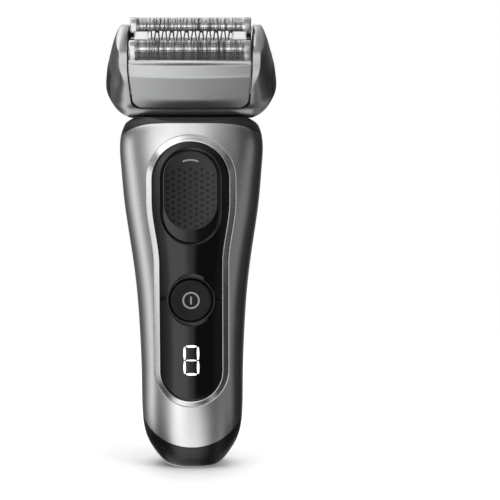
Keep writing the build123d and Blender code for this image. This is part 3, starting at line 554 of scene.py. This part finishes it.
def build_button():
    """Dished ring, domed cap and the symbol on it, all round about a line along Y."""
    y0 = float(on_front((0.0, BUTTON_Z))[1])

    def turned(profile, count):
        """Rings of points; profile is (radius, y offset), outside inwards."""
        turn = np.linspace(0, 2 * math.pi, count, endpoint=False)
        return [np.stack([r * np.cos(turn), np.full(count, y0 + dy), BUTTON_Z + r * np.sin(turn)], -1)
                for r, dy in profile]

    ring = [(8.32, 1.0), (8.32, -0.62), (8.26, -0.74), (8.1, -0.76), (7.95, -0.66), (7.75, -0.42), (7.55, -0.1),
            (7.42, 0.3), (7.36, 0.9)]
    skinned("button_dish", turned(ring, 128), "satin_black", "handle", "button_ring", facing=FRONT, sharp=40)
    cap = [(7.18, 0.9), (7.18, -0.62), (7.12, -0.8), (6.98, -0.9), (6.8, -0.93), (6.0, -0.9), (4.6, -0.82),
           (3.2, -0.76), (1.6, -0.73), (0.5, -0.72)]
    skinned("power_cap", turned(cap, 128), "button_black", "power_button", "power_button", facing=FRONT, cap=True,
            sharp=50)
    mark = Parts()
    mark.grid(turned([(3.02, -0.72), (3.0, -0.83), (2.44, -0.81), (2.42, -0.70)], 96), wrap=True)
    bar = stadium(0.29, BUTTON_Z - 1.45, BUTTON_Z + 1.45, 40)
    mark.slab([(x, y0 - 0.8, z) for x, z in bar], [(x, y0 - 0.6, z) for x, z in bar])
    piece("power_mark", mark, "grey_mark", "power_button", "power_symbol", facing=FRONT)


def build_pad():
    """Lock slider: crowned pad with a grid of small round dimples and an arc mark."""
    dimples = []
    for col in range(-4, 5):
        for row in range(-6, 7):
            x, z = col * 1.98, 99.4 + row * 2.07 + (1.035 if col % 2 else 0.0)
            from_end = math.hypot(x, max(0.0, 95.6 - z, z - 104.6))
            if z < 108.6 - abs(x) * 0.12 and from_end < 8.3:
                dimples.append((x, z))
    dimples = np.array(dimples)
    rim = stadium(9.2, 86.6, 114.0, 560)
    centre_line = np.stack([0 * rim[:, 1], np.clip(rim[:, 1], 97.0, 104.0)], -1)
    rows = [on_front(rim, -0.35), on_front(rim, 0.55)]
    for t in np.linspace(0.01, 0.97, 66):
        row = rim + (centre_line - rim) * t
        edge = 1 - min(1.0, t / 0.14)
        rise = 0.62 + 0.5 * math.sqrt(1 - edge ** 2)
        gap = np.hypot(row[:, :1] - dimples[:, 0], row[:, 1:] - dimples[:, 1]).min(1)
        rows.append(on_front(row, rise - 0.45 * np.clip(1 - (gap / 0.5) ** 4, 0, 1)))
    skinned("lock_pad_dimpled", rows, "charcoal", "lock_slider", "lock_pad", facing=FRONT, cap=True, sharp=50)
    rows = [on_front(arc(0, 104.15, 7.2 - inset, 113, 67, 40), rise)
            for inset, rise in ((0.0, 1.0), (0.06, 1.17), (0.56, 1.17), (0.62, 1.0))]
    skinned("lock_arc", rows, "grey_mark", "lock_slider", "lock_mark", wrap=False, facing=FRONT)


def build_rear_shell():
    """Rear half with moulded grip waves and the trimmer's pocket."""
    count = 600
    outer = shell_outline(False, count)
    half, low, top, corner = 11.9, 78.0, 118.6, 2.2
    right = [(0, top), (9.6, top)] + arc(half - corner, top - corner, corner, 88, 0, 12)
    right += [(half, z) for z in np.linspace(112, 84, 40)] + arc(half - corner, low + corner, corner, 0, -90, 12)
    hole = resample(mirrored(right + [(x, low) for x in np.linspace(8, 0, 10)]), count)
    inner = unrolled(hole, False)
    rows = [on_skin(outer, -1.4, False), on_skin(outer, -0.12, False)]
    for row in between(outer, inner, [0.005, *np.linspace(0.02, 0.985, 150), 0.995]):
        a, z = row.T
        zone = np.clip((0.62 - np.abs(a)) / 0.12, 0, 1) * np.clip((z - 24) / 6, 0, 1) * np.clip((72 - z) / 6, 0, 1)
        wave = np.clip(np.sin((z + 6.0 * a * a) * 2 * math.pi / 4.2), 0, 1) ** 0.8
        rows.append(on_skin(row, 0.32 * zone * wave, False))
    floor = np.stack([hole[:, 0], np.full(count, 13.75), hole[:, 1]], -1)
    rows += [on_skin(inner, -0.1, False), floor, floor * (0.5, 1, 0.5) + (0, 0, 98 * 0.5)]
    at_parting = np.abs(outer[:, 0]) > 0.998
    for row in rows[:3]:
        row[at_parting, 1] = PARTING_Y + SEAM
    for row in rows:    # notch the trimmer slides through
        over = (np.abs(row[:, 0]) < 12.0) & (row[:, 2] > 117.0)
        row[over, 1] = np.minimum(row[over, 1], 13.7)
    skinned("rear_shell_grip", rows, "soft_black", "handle", "rear_shell", facing=BACK, cap=True, sharp=40)


# ------------------------------------------------------------------ head pieces, in head coordinates (x, y, t)
HEAD_T = np.array([         # height t along the head's axis, half width, depth
    (-4.2, 23.8, 9.6), (-3.0, 26.2, 10.6), (-1.0, 28.2, 11.15), (1.0, 29.1, 11.2), (3.0, 29.4, 11.85),
    (6.3, 29.2, 12.45), (10.0, 28.8, 12.75), (13.8, 28.2, 12.85), (17.4, 27.4, 12.3), (19.6, 26.8, 11.3),
    (21.2, 26.2, 10.1), (22.2, 25.8, 9.0), (22.8, 25.5, 7.9), (23.2, 25.3, 6.7)])
CREASE = np.array([(-6.0, 20.5), (2.0, 20.6), (7.0, 20.8), (10.0, 21.3), (13.0, 22.2), (16.0, 23.3), (18.5, 23.9),
                   (21.5, 24.1), (25.0, 23.9)])     # height, half width at which the wing turns back
head_w, head_d = (natural_cubic(HEAD_T[:, 0], HEAD_T[:, k]) for k in (1, 2))
crease_x = natural_cubic(*CREASE.T)
CHIN_T, WING_T = -4.2, 22.8
RELEASE_T, RELEASE_Y, RELEASE_R = (0.4, 12.4), 6.4, 1.4
BAY_TOP_X, BAY_LOW_X, BAY_TOP_T, BAY_LOW_T, BAY_R = 21.5, 20.4, 18.0, 0.8, 4.0
BAY_SLOPE = (BAY_TOP_X - BAY_LOW_X) / (BAY_TOP_T - BAY_LOW_T)


def head_face(x, t, back=False):
    """Point of the head frame's front (or back) skin over (x, t)."""
    x, t = np.broadcast_arrays(np.asarray(x, float), np.asarray(t, float))
    start = crease_x(t)
    v = np.clip((np.abs(x) - start) / np.maximum(head_w(t) - start, 0.1), 0, 1)
    fall = 0.28 * smooth01((t - 8.0) / 10.0) * smooth01((24.6 - t) / 1.6)
    y = head_d(t) * (1 - v ** 2.3) ** 0.5 * (1 - fall * v)
    y = y + 0.08 * (1 - np.clip(np.abs(x) / 21, 0, 1) ** 2) * smooth01((2.4 - t) / 3)
    return np.stack([x, y if back else -y, t], -1)


def bay_path(inset, top, count):
    """The bay's U edge from the left wing's top, down, across and up, as (x, t)."""
    low = BAY_LOW_T + inset
    right = [(BAY_TOP_X - inset, t) for t in np.linspace(top, BAY_TOP_T, 20)]
    right += [(BAY_LOW_X - inset + BAY_SLOPE * (t - BAY_LOW_T), t) for t in np.linspace(17.8, low + BAY_R + 0.4, 40)]
    right += arc(BAY_LOW_X - inset + BAY_SLOPE * BAY_R - BAY_R, low + BAY_R, BAY_R, 0, -90, 40)
    return resample([(-x, t) for x, t in right] + right[::-1], count, closed=False)


def build_head_frame():
    cols = 760
    inner = bay_path(0.0, WING_T, cols)
    share = inner / np.stack([head_w(inner[:, 1]), np.ones(cols)], -1)
    # outer edge in (share of the half width, t): down the left side, under the chin, up the right side
    down = [(-1.0, t) for t in np.linspace(WING_T, CHIN_T, 200)]
    chin = [(a, CHIN_T) for a in np.linspace(-1, 1, 200)[1:-1]]
    path = np.array(down + chin + [(1.0, t) for _, t in down[::-1]])
    outer = resample(path * (27.0, 1.0), cols, closed=False) / (27.0, 1.0)
    parts = Parts()
    last_rows = []
    for back in (False, True):
        rows = []
        for row in between(outer, share, (1 - np.cos(np.linspace(0, math.pi, 72))) / 2):
            rows.append(head_face(row[:, 0] * head_w(row[:, 1]), row[:, 1], back))
        if not back:    # softened edge towards the bay
            lip = np.stack([inner[:, 0] * 0.997, rows[-1][:, 1] + 0.25, inner[:, 1]], -1)
            rows[-1:] = [(rows[-1] + rows[-2]) / 2, lip]
        last_rows.append(parts.grid(rows, flip=back) + (len(rows) - 1) * cols)
    near, far = last_rows
    parts.faces += [(near + c, near + c + 1, far + c + 1, far + c) for c in range(cols - 1)]
    # openings for the release buttons
    points = np.array(parts.verts)
    x, y, t = np.array([points[list(f)].mean(0) for f in parts.faces]).T
    gone = (np.abs(x) > 25) & (np.abs(y) < RELEASE_Y + 0.1) & (t > RELEASE_T[0] - 0.1) & (t < RELEASE_T[1] + 0.1)
    parts.faces = [f for f, cut in zip(parts.faces, gone) if not cut]
    # domed wing tops
    v = np.linspace(-1, 1, 40)
    for s in (-1, 1):
        rows = []
        for u in np.linspace(0, 1, 16):
            x = BAY_TOP_X * 0.999 + (head_w(WING_T) - BAY_TOP_X) * u
            dome = 1.1 * (1 - v ** 2) * (1 - u ** 3) * (1 - (1 - u) ** 8)
            rows.append(np.stack([0 * v + s * x, abs(head_face(x, WING_T)[1]) * v, WING_T + dome], -1))
        parts.grid(rows)
    # underside: rim, recess wall and a floor with the arms' and bridge's openings
    turn = np.linspace(0, 2 * math.pi, 200, endpoint=False)
    c, s = (np.sign(w) * np.sqrt(np.abs(w)) for w in (np.cos(turn), np.sin(turn)))
    parts.grid([np.stack([(23.2 - inset) * c, (9.6 - inset) * s, 0 * c + t], -1)
                for inset, t in ((0.0, -4.15), (1.4, CHIN_T), (1.6, -4.0), (1.6, 1.1))], wrap=True)
    xs = [-20.9, -19.8, -17.4, -7.6, 7.6, 17.4, 19.8, 20.9]
    ys = [-6.9, -5.2, -3.0, 3.0, 5.2, 6.9]
    floor = []
    for i in range(len(xs) - 1):
        for j in range(len(ys) - 1):
            arm = i in (1, 5) and j == 2
            bridge = i == 3 and j in (1, 2, 3)
            if not arm and not bridge:
                a = i * len(ys) + j
                floor.append((a, a + 1, a + 1 + len(ys), a + len(ys)))
    parts.add([(x, y, 1.1) for x in xs for y in ys], floor)
    piece("head_frame_sculpted", parts, "head_silver", "head", "head_frame", sharp=34, lean=True)


def build_bay_shade_liner():
    """Inner wall of the bay in dark plastic: painted shade, seen as a thin dark line round the cassette."""
    rows = []
    for side, lower, profile in ((-1, 0.25, ((-0.02, 0.35), (0.16, 0.35), (0.16, 6.0))),
                                 (1, 0.15, ((0.16, 6.0), (0.16, 0.35), (-0.02, 0.35)))):
        for inset, drop in profile:
            x, t = bay_path(inset, WING_T - lower, 300).T
            rows.append(np.stack([x, side * (head_d(t) - drop), t], -1))
    skinned("bay_shade_liner", rows, "dark_plastic", "head", wrap=False, sharp=40, lean=True)


def skirt_depth(t):
    return np.interp(t, [0.8, 15.4, 15.8, 16.2, 16.7, 19.6, 19.85], [11.3, 13.13, 13.16, 13.1, 12.93, 11.66, 11.5])


def build_skirts():
    """Front and back faces of the cassette with a rolled edge all round."""
    gap, top = 0.42, 19.85
    low = BAY_LOW_T + gap
    ts = np.concatenate([low + np.array([0, 0.03, 0.08, 0.16, 0.28, 0.45]), np.linspace(low + 0.6, 15.2, 80),
                         np.linspace(15.3, 16.8, 24), np.linspace(17.0, 19.4, 14),
                         top - np.array([0.3, 0.18, 0.08, 0.03, 0])])
    rim = np.array([0.987, 0.992, 0.996, 0.998, 0.9993, 1])
    across = np.concatenate([-rim[::-1], np.linspace(-0.98, 0.98, 120), rim])
    cols, last = len(across), len(ts) - 1
    parts = Parts()
    for s in (1, -1):
        rows = []
        for t in ts:
            half = BAY_TOP_X - gap if t > BAY_TOP_T else BAY_LOW_X - gap + BAY_SLOPE * (t - BAY_LOW_T)
            if t < low + BAY_R:
                half -= BAY_R - math.sqrt(max(0.0, BAY_R ** 2 - (low + BAY_R - t) ** 2))
            x = across * half
            edge = np.minimum(half - np.abs(x), min(t - low, top - t))
            roll = 0.28 * (1 - np.sqrt(np.clip(1 - np.clip(1 - edge / 0.34, 0, 1) ** 2, 0, 1)))
            crown = (0.3 + 0.6 * smooth01((t - 1.4) / 5.0)) * (1 - (np.abs(x) / 21.5) ** 2)
            rows.append(np.stack([x, -s * (skirt_depth(t) + crown - roll - 0.3), 0 * x + t], -1))
        start = parts.grid(rows, flip=s < 0)
        # returns run 0.5 deep all round, closed by a back face
        ring = [r * cols for r in range(last + 1)] + [last * cols + c for c in range(1, cols)]
        ring += [r * cols + cols - 1 for r in range(last - 1, -1, -1)] + list(range(cols - 2, 0, -1))
        n = len(ring)
        back = parts.add([parts.verts[start + k] + (0, s * 0.5, 0) for k in ring], [])
        parts.faces += [(start + ring[k], start + ring[(k + 1) % n], back + (k + 1) % n, back + k) for k in range(n)]
        parts.faces.append(tuple(range(back, back + n)))
    for s in (-1, 1):   # end walls inside the bay
        parts.add([(x, y, t) for x in (s * 19.9, s * 21.0)
                   for y, t in ((-11.2, 7.4), (-11.2, 16.2), (11.2, 16.2), (11.2, 7.4))],
                  ((0, 1, 2, 3), (4, 5, 6, 7), (0, 1, 5, 4), (1, 2, 6, 5), (2, 3, 7, 6), (3, 0, 4, 7)))
    piece("cassette_skirts", parts, "skirt_silver", "cassette", "cassette_shell", sharp=30, lean=True)


def on_arc(centre, x, run, radius=FOIL_R):
    """Points on an arch: run is the distance over it from the crest, front negative."""
    quarter = math.pi / 2 * radius
    run = np.asarray(run, float)
    bend = np.clip(run, -quarter, quarter) / radius
    t = FOIL_T + radius * np.cos(bend) - np.maximum(np.abs(run) - quarter, 0)
    return np.stack(np.broadcast_arrays(x, centre + radius * np.sin(bend), t), -1)


def build_foil(word, centre):
    """Perforated sheet: long slots along the crest, hexagons on the flanks, plain borders."""
    flat = Parts()      # (x, run) points

    def cell(outline, hole):
        n = len(outline)
        flat.add(outline + hole, [(i, (i + 1) % n, n + (i + 1) % n, n + i) for i in range(n)])

    def strip(xs, runs):
        flat.grid([[(x, r) for r in runs] for x in xs])

    half, pitch = 18.0, 0.5
    quarter = math.pi / 2 * FOIL_R
    count = int(2 * half / pitch)
    for i in range(count):
        x0 = -half + i * pitch
        wave = 1 + math.sin(x0 * 2.3) * math.sin(x0 * 0.9 + centre)
        wide, thin = 0.14 + 0.04 * wave, 0.07 + 0.05 * wave
        for r0, r1, bar in ((-2.3, -1.45, wide), (-1.45, 0.0, thin), (0.0, 1.45, thin), (1.45, 2.3, wide)):
            low, high = (x0 + bar, r0 + 0.13), (x0 + pitch - bar, r1 - 0.13)
            cell([(x0, r0), (x0 + pitch, r0), (x0 + pitch, r1), (x0, r1)],
                 [low, (high[0], low[1]), high, (low[0], high[1])])
    right_end = -half + count * pitch
    side = 0.42
    step_x, step_r = math.sqrt(3) * side, 1.5 * side
    corners = [(math.sin(math.pi / 3 * k), math.cos(math.pi / 3 * k)) for k in range(6)]
    for sign in (-1, 1):
        for r in range(int((quarter - 2.1) / step_r)):
            run = sign * (3.0 + side * 0.9 + r * step_r)
            for i in range(int(2 * half / step_x) + 1):
                cx = -half + (step_x / 2 if r % 2 else 0.0) + i * step_x
                if cx <= right_end:
                    cell(*([(cx + size * u, run + size * v) for u, v in corners] for size in (side, side * 0.76)))
    end = quarter + 1.0
    span = np.linspace(-end, end, 40)
    strip([-18.7, -18.3, -half + 0.06], span)
    strip([right_end - 0.06, 18.3, 18.7], span)
    for sign in (-1, 1):
        strip(np.linspace(-half, right_end, 60), np.sort(sign * np.linspace(2.27, 3.02, 6)))
    strip(np.linspace(-18.7, 18.7, 60), np.linspace(-end, 0.55 - end, 3))
    strip(np.linspace(-18.7, 18.7, 60), np.linspace(end - 0.55, end, 3))
    flat.verts = on_arc(centre, *np.array(flat.verts).T)
    piece(word + "_foil_perforated", flat, "foil_steel", word + "_foil", word + "_foil", sharp=60, lean=True,
          facing=(0, -math.sin(LEAN), math.cos(LEAN)))


def build_foil_frame(word, centre):
    """Plain channel under the sheet with a rolled lower lip, and arched end caps."""
    profile = [(4.3, 18.0), (4.3, 20.6), (4.25, 20.9), (4.05, 21.05), (3.86, 21.1), (3.86, 20.0), (3.3, 20.0),
               (3.3, 18.0)]
    parts = Parts()
    for s in (-1, 1):
        parts.grid([[(x, centre + s * (y - inset), t) for y, t in profile]
                    for x, inset in ((-20.9, 0.1), (-20.8, 0.0), (20.8, 0.0), (20.9, 0.1))], wrap=True)
    runs = np.linspace(-7.2, 7.2, 48)
    steps = [(18.72, 0.0), (18.74, 0.10), (20.3, 0.10), (20.7, 0.0), (20.88, -0.22), (20.9, -0.5)]
    for s in (-1, 1):
        parts.grid([on_arc(centre, s * x, runs, FOIL_R + grow) for x, grow in steps], cap=True)
    piece(word + "_foil_frame_trim", parts, "frame_silver", word + "_foil", word + "_foil_frame", sharp=40, lean=True)


def build_blades(word, centre):
    """Arched cutter blades close under the foil, in near-black steel that paints the shade seen through the foil's
    holes.
    """
    outline = arc(centre, FOIL_T, 3.5, 180, 0, 25) + [(centre + 2.6, 20.6), (centre - 2.6, 20.6)]
    n = len(outline)
    parts = Parts()
    for i in range(-10, 11):
        parts.add([(i * 1.3 + dx, y, t) for dx in (-0.15, 0.15) for y, t in outline],
                  grid_faces(2, n, True) + [range(n), range(2 * n - 1, n - 1, -1)])
    piece(word + "_blade_row", parts, "shade_dark_blade_steel", word + "_cutter", word + "_blades", sharp=30, lean=True)


def build_middle():
    """Slotted guard with end blocks and interleaved pointed teeth, and the toothed blade under it."""
    def block(parts, x, y, low, high, inset):
        rows = [[(x[0] + g, y[0] + g, t), (x[1] - g, y[0] + g, t), (x[1] - g, y[1] - g, t), (x[0] + g, y[1] - g, t)]
                for t, g in ((low, 0.0), (high - inset, 0.0), (high, inset))]
        parts.grid(rows, wrap=True, cap=True)

    def tooth(parts, x, wide, y0, y1, t0, t1):
        """Pointed bar from y0 (root) to y1 (tip), rising to t1 in the middle."""
        root, tip = wide / 2, wide * 0.12
        parts.grid([[(x + w * side, y0 + (y1 - y0) * share, t - drop)
                     for side, drop in ((-1, 0.9), (-0.8, 0.1), (0, 0), (0.8, 0.1), (1, 0.9))]
                    for share, w, t in ((0.0, root, t0 - 0.5), (0.1, root, t1 - 0.15), (0.45, root * 0.72, t1),
                                        (0.85, tip * 1.9, t1 - 0.1), (1.0, tip, t0 - 0.3))])

    guard, blade = Parts(), Parts()
    block(guard, (-19.2, -14.4), (-2.2, 2.2), 18.2, 24.4, 0.5)
    block(guard, (14.4, 19.2), (-2.2, 2.2), 18.2, 24.4, 0.5)
    block(guard, (-14.4, 14.4), (1.75, 2.1), 17.4, 22.0, 0.1)
    block(guard, (-14.4, 14.4), (-2.1, -1.75), 17.4, 22.0, 0.1)
    pitch = 2.53
    for i in range(-5, 6):
        tooth(guard, i * pitch, 1.35, 2.3, -2.3, 23.7, 24.7)
    for i in range(-6, 6):
        tooth(guard, (i + 0.5) * pitch, 1.35, -2.3, 2.3 - 0.8 * (i % 2), 23.7, 24.6)
    piece("middle_guard_teeth", guard, "tooth_steel", "middle_guard", "middle_guard", slot="steel", sharp=30,
          lean=True)
    for i in range(-8, 9):
        tooth(blade, i * 1.59, 0.7, 1.3, -1.3, 22.6, 23.1)
    block(blade, (-13.0, 13.0), (-1.4, 1.4), 20.4, 21.8, 0.1)
    # near-black blade steel: painted shade under the guard's slots
    piece("middle_blade_teeth", blade, "shade_dark_blade_steel", "middle_cutter", "middle_blade", sharp=30, lean=True)


def on_side(yt, outwards):
    """(half width, y, t) of the head frame's side over (y, t)."""
    y, t = yt.T
    width = crease_x(t) + (head_w(t) - crease_x(t)) * (1 - (np.abs(y) / head_d(t)) ** 2) ** (1 / 2.3)
    return np.stack([width + outwards, y, t], -1)


def rounded_box(half_y, low, high, radius, count):
    """Outline of a rectangle with round corners as (y, t)."""
    y, top, bottom = half_y - radius, high - radius, low + radius
    pts = []
    for cy, ct, start in ((y, top, 90), (y, bottom, 0), (-y, bottom, -90), (-y, top, -180)):
        pts += arc(cy, ct, radius, start, start - 90, 12)
    return resample(pts, count)


def build_releases():
    """Black side buttons with finger grooves, each in a dark-lined opening."""
    low, high = RELEASE_T
    centre = np.array([0.0, (low + high) / 2])
    rim = rounded_box(RELEASE_Y, low, high, RELEASE_R, 240)
    for s, node in ((-1, "release_left"), (1, "release_right")):
        mirror = np.array([s, 1, 1])
        rows = [on_side(rim, -1.6) * mirror]
        for k in [0.0, 0.012, 0.035, *np.linspace(0.07, 0.97, 60)]:
            row = rim + (centre - rim) * k
            u, v = np.abs(row[:, 0]) / RELEASE_Y, np.abs(row[:, 1] - centre[1]) / (high - centre[1])
            bulge = 0.3 * np.clip(1 - u ** 3, 0, 1) * np.clip(1 - v ** 4, 0, 1) - (0.18 if k == 0 else 0)
            groove = 0.22 * np.clip(np.sin((row[:, 1] - 3.4) * 2 * math.pi / 1.8), 0, 1)
            groove = groove * smooth01((0.74 - u) / 0.1) * smooth01((0.7 - v) / 0.1)
            rows.append(on_side(row, 0.02 + bulge - groove) * mirror)
        skinned(node + "_grip", rows, "dark_plastic", node, node, facing=(s, 0, 0), cap=True, sharp=50, lean=True)
        rows = []
        for grow, sink in ((0.85, 0.3), (0.8, -0.04), (0.14, -0.04), (0.1, 0.02), (0.1, 3.2)):
            edge = rounded_box(RELEASE_Y + grow, low - grow, high + grow, RELEASE_R + grow * 0.6, 240)
            rows.append(on_side(edge, -sink) * mirror)
        rows.append(rows[-1] * (1, 0.9, 0.9) + (0, 0, centre[1] * 0.1))
        skinned(node + "_surround", rows, "dark_plastic", "head", facing=(s, 0, 0), cap=True, sharp=40, lean=True)


build_front_shell()
build_apron()
build_bezel()
build_upper_panel()
build_window()
build_digit()
build_button()
build_pad()
build_rear_shell()
build_head_frame()
build_bay_shade_liner()
build_skirts()
for builder in (build_foil, build_foil_frame, build_blades):
    builder("front", -FOIL_S)
    builder("rear", FOIL_S)
build_middle()
build_releases()


# ------------------------------------------------------------------ studio
def add_area(name, place, target, size, power):
    """Square lamp that mirror-like surfaces do not see."""
    lamp = bpy.data.lights.new(name, "AREA")
    lamp.shape = "RECTANGLE"
    lamp.size = lamp.size_y = size
    lamp.energy = power
    obj = bpy.data.objects.new(name, lamp)
    bpy.context.scene.collection.objects.link(obj)
    obj.location = place
    obj.rotation_euler = (Vector(target) - Vector(place)).to_track_quat("-Z", "Y").to_euler()
    obj.visible_glossy = False


# Brightness seen by mirror-like surfaces. First three: by azimuth in degrees, left negative, on and above and
# below the horizon. The others: by sideways direction -1..1.
FAR_LEFT = [(-180, 0.3), (-148, 0.12), (-120, 0.2), (-100, 0.55), (-86, 1.1), (-73, 1.5), (-62, 1.05), (-54, 0.5),
            (-46, 0.36)]
FAR_RIGHT = [(75, 0.2), (86, 0.05), (138, 0.02), (180, 0.3)]
LEVEL = [*FAR_LEFT, (-38, 0.5), (-30, 0.9), (-20, 1.7), (-13, 3.0), (-7, 2.5), (-3.5, 0.85), (2, 0.42), (10, 0.24),
         (22, 0.3), (29, 0.27), (36, 0.12), (42, 0.07), (53, 0.28), (65, 0.38), *FAR_RIGHT]
MIDDLE = [*FAR_LEFT, (-38, 0.4), (-26, 0.75), (-18, 1.35), (-15, 2.4), (-11, 2.5), (-3, 2.4), (-0.4, 0.12),
          (15, 0.1), (24, 0.26), (32, 0.26), (40, 0.3), (53, 0.32), (65, 0.34), *FAR_RIGHT]
RAISED = [(-180, 0.3), (-110, 0.15), (-75, 0.35), (-50, 0.42), (-37, 0.6), (-29, 1.2), (-20, 1.6), (-11, 1.7),
          (-6, 2.3), (-3, 2.2), (-1, 1.4), (2, 0.9), (8, 0.62), (24, 0.36), (36, 0.18), (48, 0.08), (70, 0.12),
          (90, 0.03), (180, 0.3)]
LOW = [(-1, 0.1), (-0.55, 0.12), (-0.4, 0.3), (-0.26, 1.6), (-0.1, 2.2), (0, 1.7), (0.1, 1.05), (0.2, 0.4),
       (0.34, 0.1), (0.45, 0.4), (0.58, 0.4), (0.7, 0.08), (1, 0.05)]
NADIR = [(-1, 0.5), (-0.5, 1.4), (-0.18, 1.2), (-0.06, 0.85), (0, 0.68), (0.08, 0.4), (0.16, 0.17), (0.3, 0.12),
         (0.5, 0.2), (0.6, 0.8), (0.72, 0.7), (0.82, 0.1), (1, 0.1)]
TOPLIGHT = [(-1, 0.9), (-0.6, 2.2), (-0.3, 2.2), (-0.1, 1.8), (0, 1.2), (0.12, 0.9), (0.3, 0.6), (0.6, 0.3), (1, 0.3)]
ZENITH = [(-1, 0.7), (-0.4, 0.9), (0, 0.5), (0.5, 0.4), (1, 0.3)]
BRIGHTEST = 4.0


def build_world():
    """White to the camera; reflections see a studio: soft box on the left, dark card on the right."""
    world = bpy.data.worlds.new("studio")
    bpy.context.scene.world = world
    world.use_nodes = True
    net = Net(world.node_tree)
    along = net.add("SeparateXYZ", {0: net.add("TexCoord").outputs["Generated"]}).outputs
    azimuth = net.math("ARCTAN2", along[0], net.math("MULTIPLY", along[1], -1.0))

    def band(stops, value, reach):
        """Brightness along the stops, which run evenly either side of 0, over a value from -reach to reach."""
        end = stops[-1][0]
        shares = [((place / end + 1) / 2, level / BRIGHTEST) for place, level in stops]
        return net.greys(net.ramp(value, -reach, reach), shares)

    sky = band(NADIR, along[0], 1)
    for low, high, stops, value, reach in (
            (-0.92, -0.78, LOW, along[0], 1), (-0.5, -0.34, MIDDLE, azimuth, math.pi),
            (-0.12, -0.02, LEVEL, azimuth, math.pi), (0.1, 0.2, RAISED, azimuth, math.pi),
            (0.45, 0.55, TOPLIGHT, along[0], 1), (0.78, 0.9, ZENITH, along[0], 1)):
        sky = net.mix(net.ramp(along[2], low, high), sky, band(stops, value, reach))
    studio, soft, white = (net.add("Background", {0: colour, 1: strength}).outputs[0]
                           for colour, strength in ((sky, BRIGHTEST), (1, 0.55), (1, 1.0)))
    path = net.add("LightPath").outputs
    lit = net.add("MixShader", {0: path["Is Glossy Ray"], 1: soft, 2: studio}).outputs[0]
    seen = net.add("MixShader", {0: path["Is Camera Ray"], 1: lit, 2: white}).outputs[0]
    net.add("OutputWorld", {0: seen})


def build_stage():
    """White floor that takes a soft shadow and fades away round the object."""
    mesh = bpy.data.meshes.new("floor")
    bm = bmesh.new()
    bmesh.ops.create_grid(bm, x_segments=40, y_segments=40, size=3.0)
    bm.to_mesh(mesh)
    bm.free()
    floor = bpy.data.objects.new("floor", mesh)
    bpy.context.scene.collection.objects.link(floor)
    floor.location = (0, 0, -0.00005)
    t = Finish("floor_white")
    t.set(Base_Color=t.mix(t.noise(8.0), 0.93, 0.95), Roughness=0.6)
    distance = t.add("VectorMath", {0: t.coords}, operation="LENGTH").outputs["Value"]
    clear = t.add("BsdfTransparent").outputs[0]
    fade = t.add("MixShader", {0: t.ramp(distance, 0.12, 0.3), 1: t.bsdf.outputs[0], 2: clear})
    t.put(t.out.inputs[0], fade.outputs[0])
    mesh.materials.append(t.mat)
    floor.visible_glossy = False


def build_camera():
    down, distance, target = math.radians(9.5), 0.8, Vector((0.0205, 0.0, 0.07714))
    forward = Vector((0, math.cos(down), -math.sin(down)))
    cam = bpy.data.cameras.new("camera")
    cam.sensor_width = 36.0
    cam.lens = 163.0
    cam.clip_end = 20.0
    obj = bpy.data.objects.new("camera", cam)
    bpy.context.scene.collection.objects.link(obj)
    obj.location = target - distance * forward
    obj.rotation_euler = forward.to_track_quat("-Z", "Y").to_euler()
    bpy.context.scene.camera = obj


build_world()
build_stage()
build_camera()
add_area("key", (-0.7, -0.6, 0.7), (0, 0, 0.07), 0.6, 1.5)
add_area("fill", (0.9, -0.5, 0.5), (0, 0, 0.07), 0.5, 5.0)
add_area("top", (0, 0.1, 1.2), (0, 0, 0.0), 1.2, 12.0)
bpy.context.scene.view_settings.view_transform = "Standard"
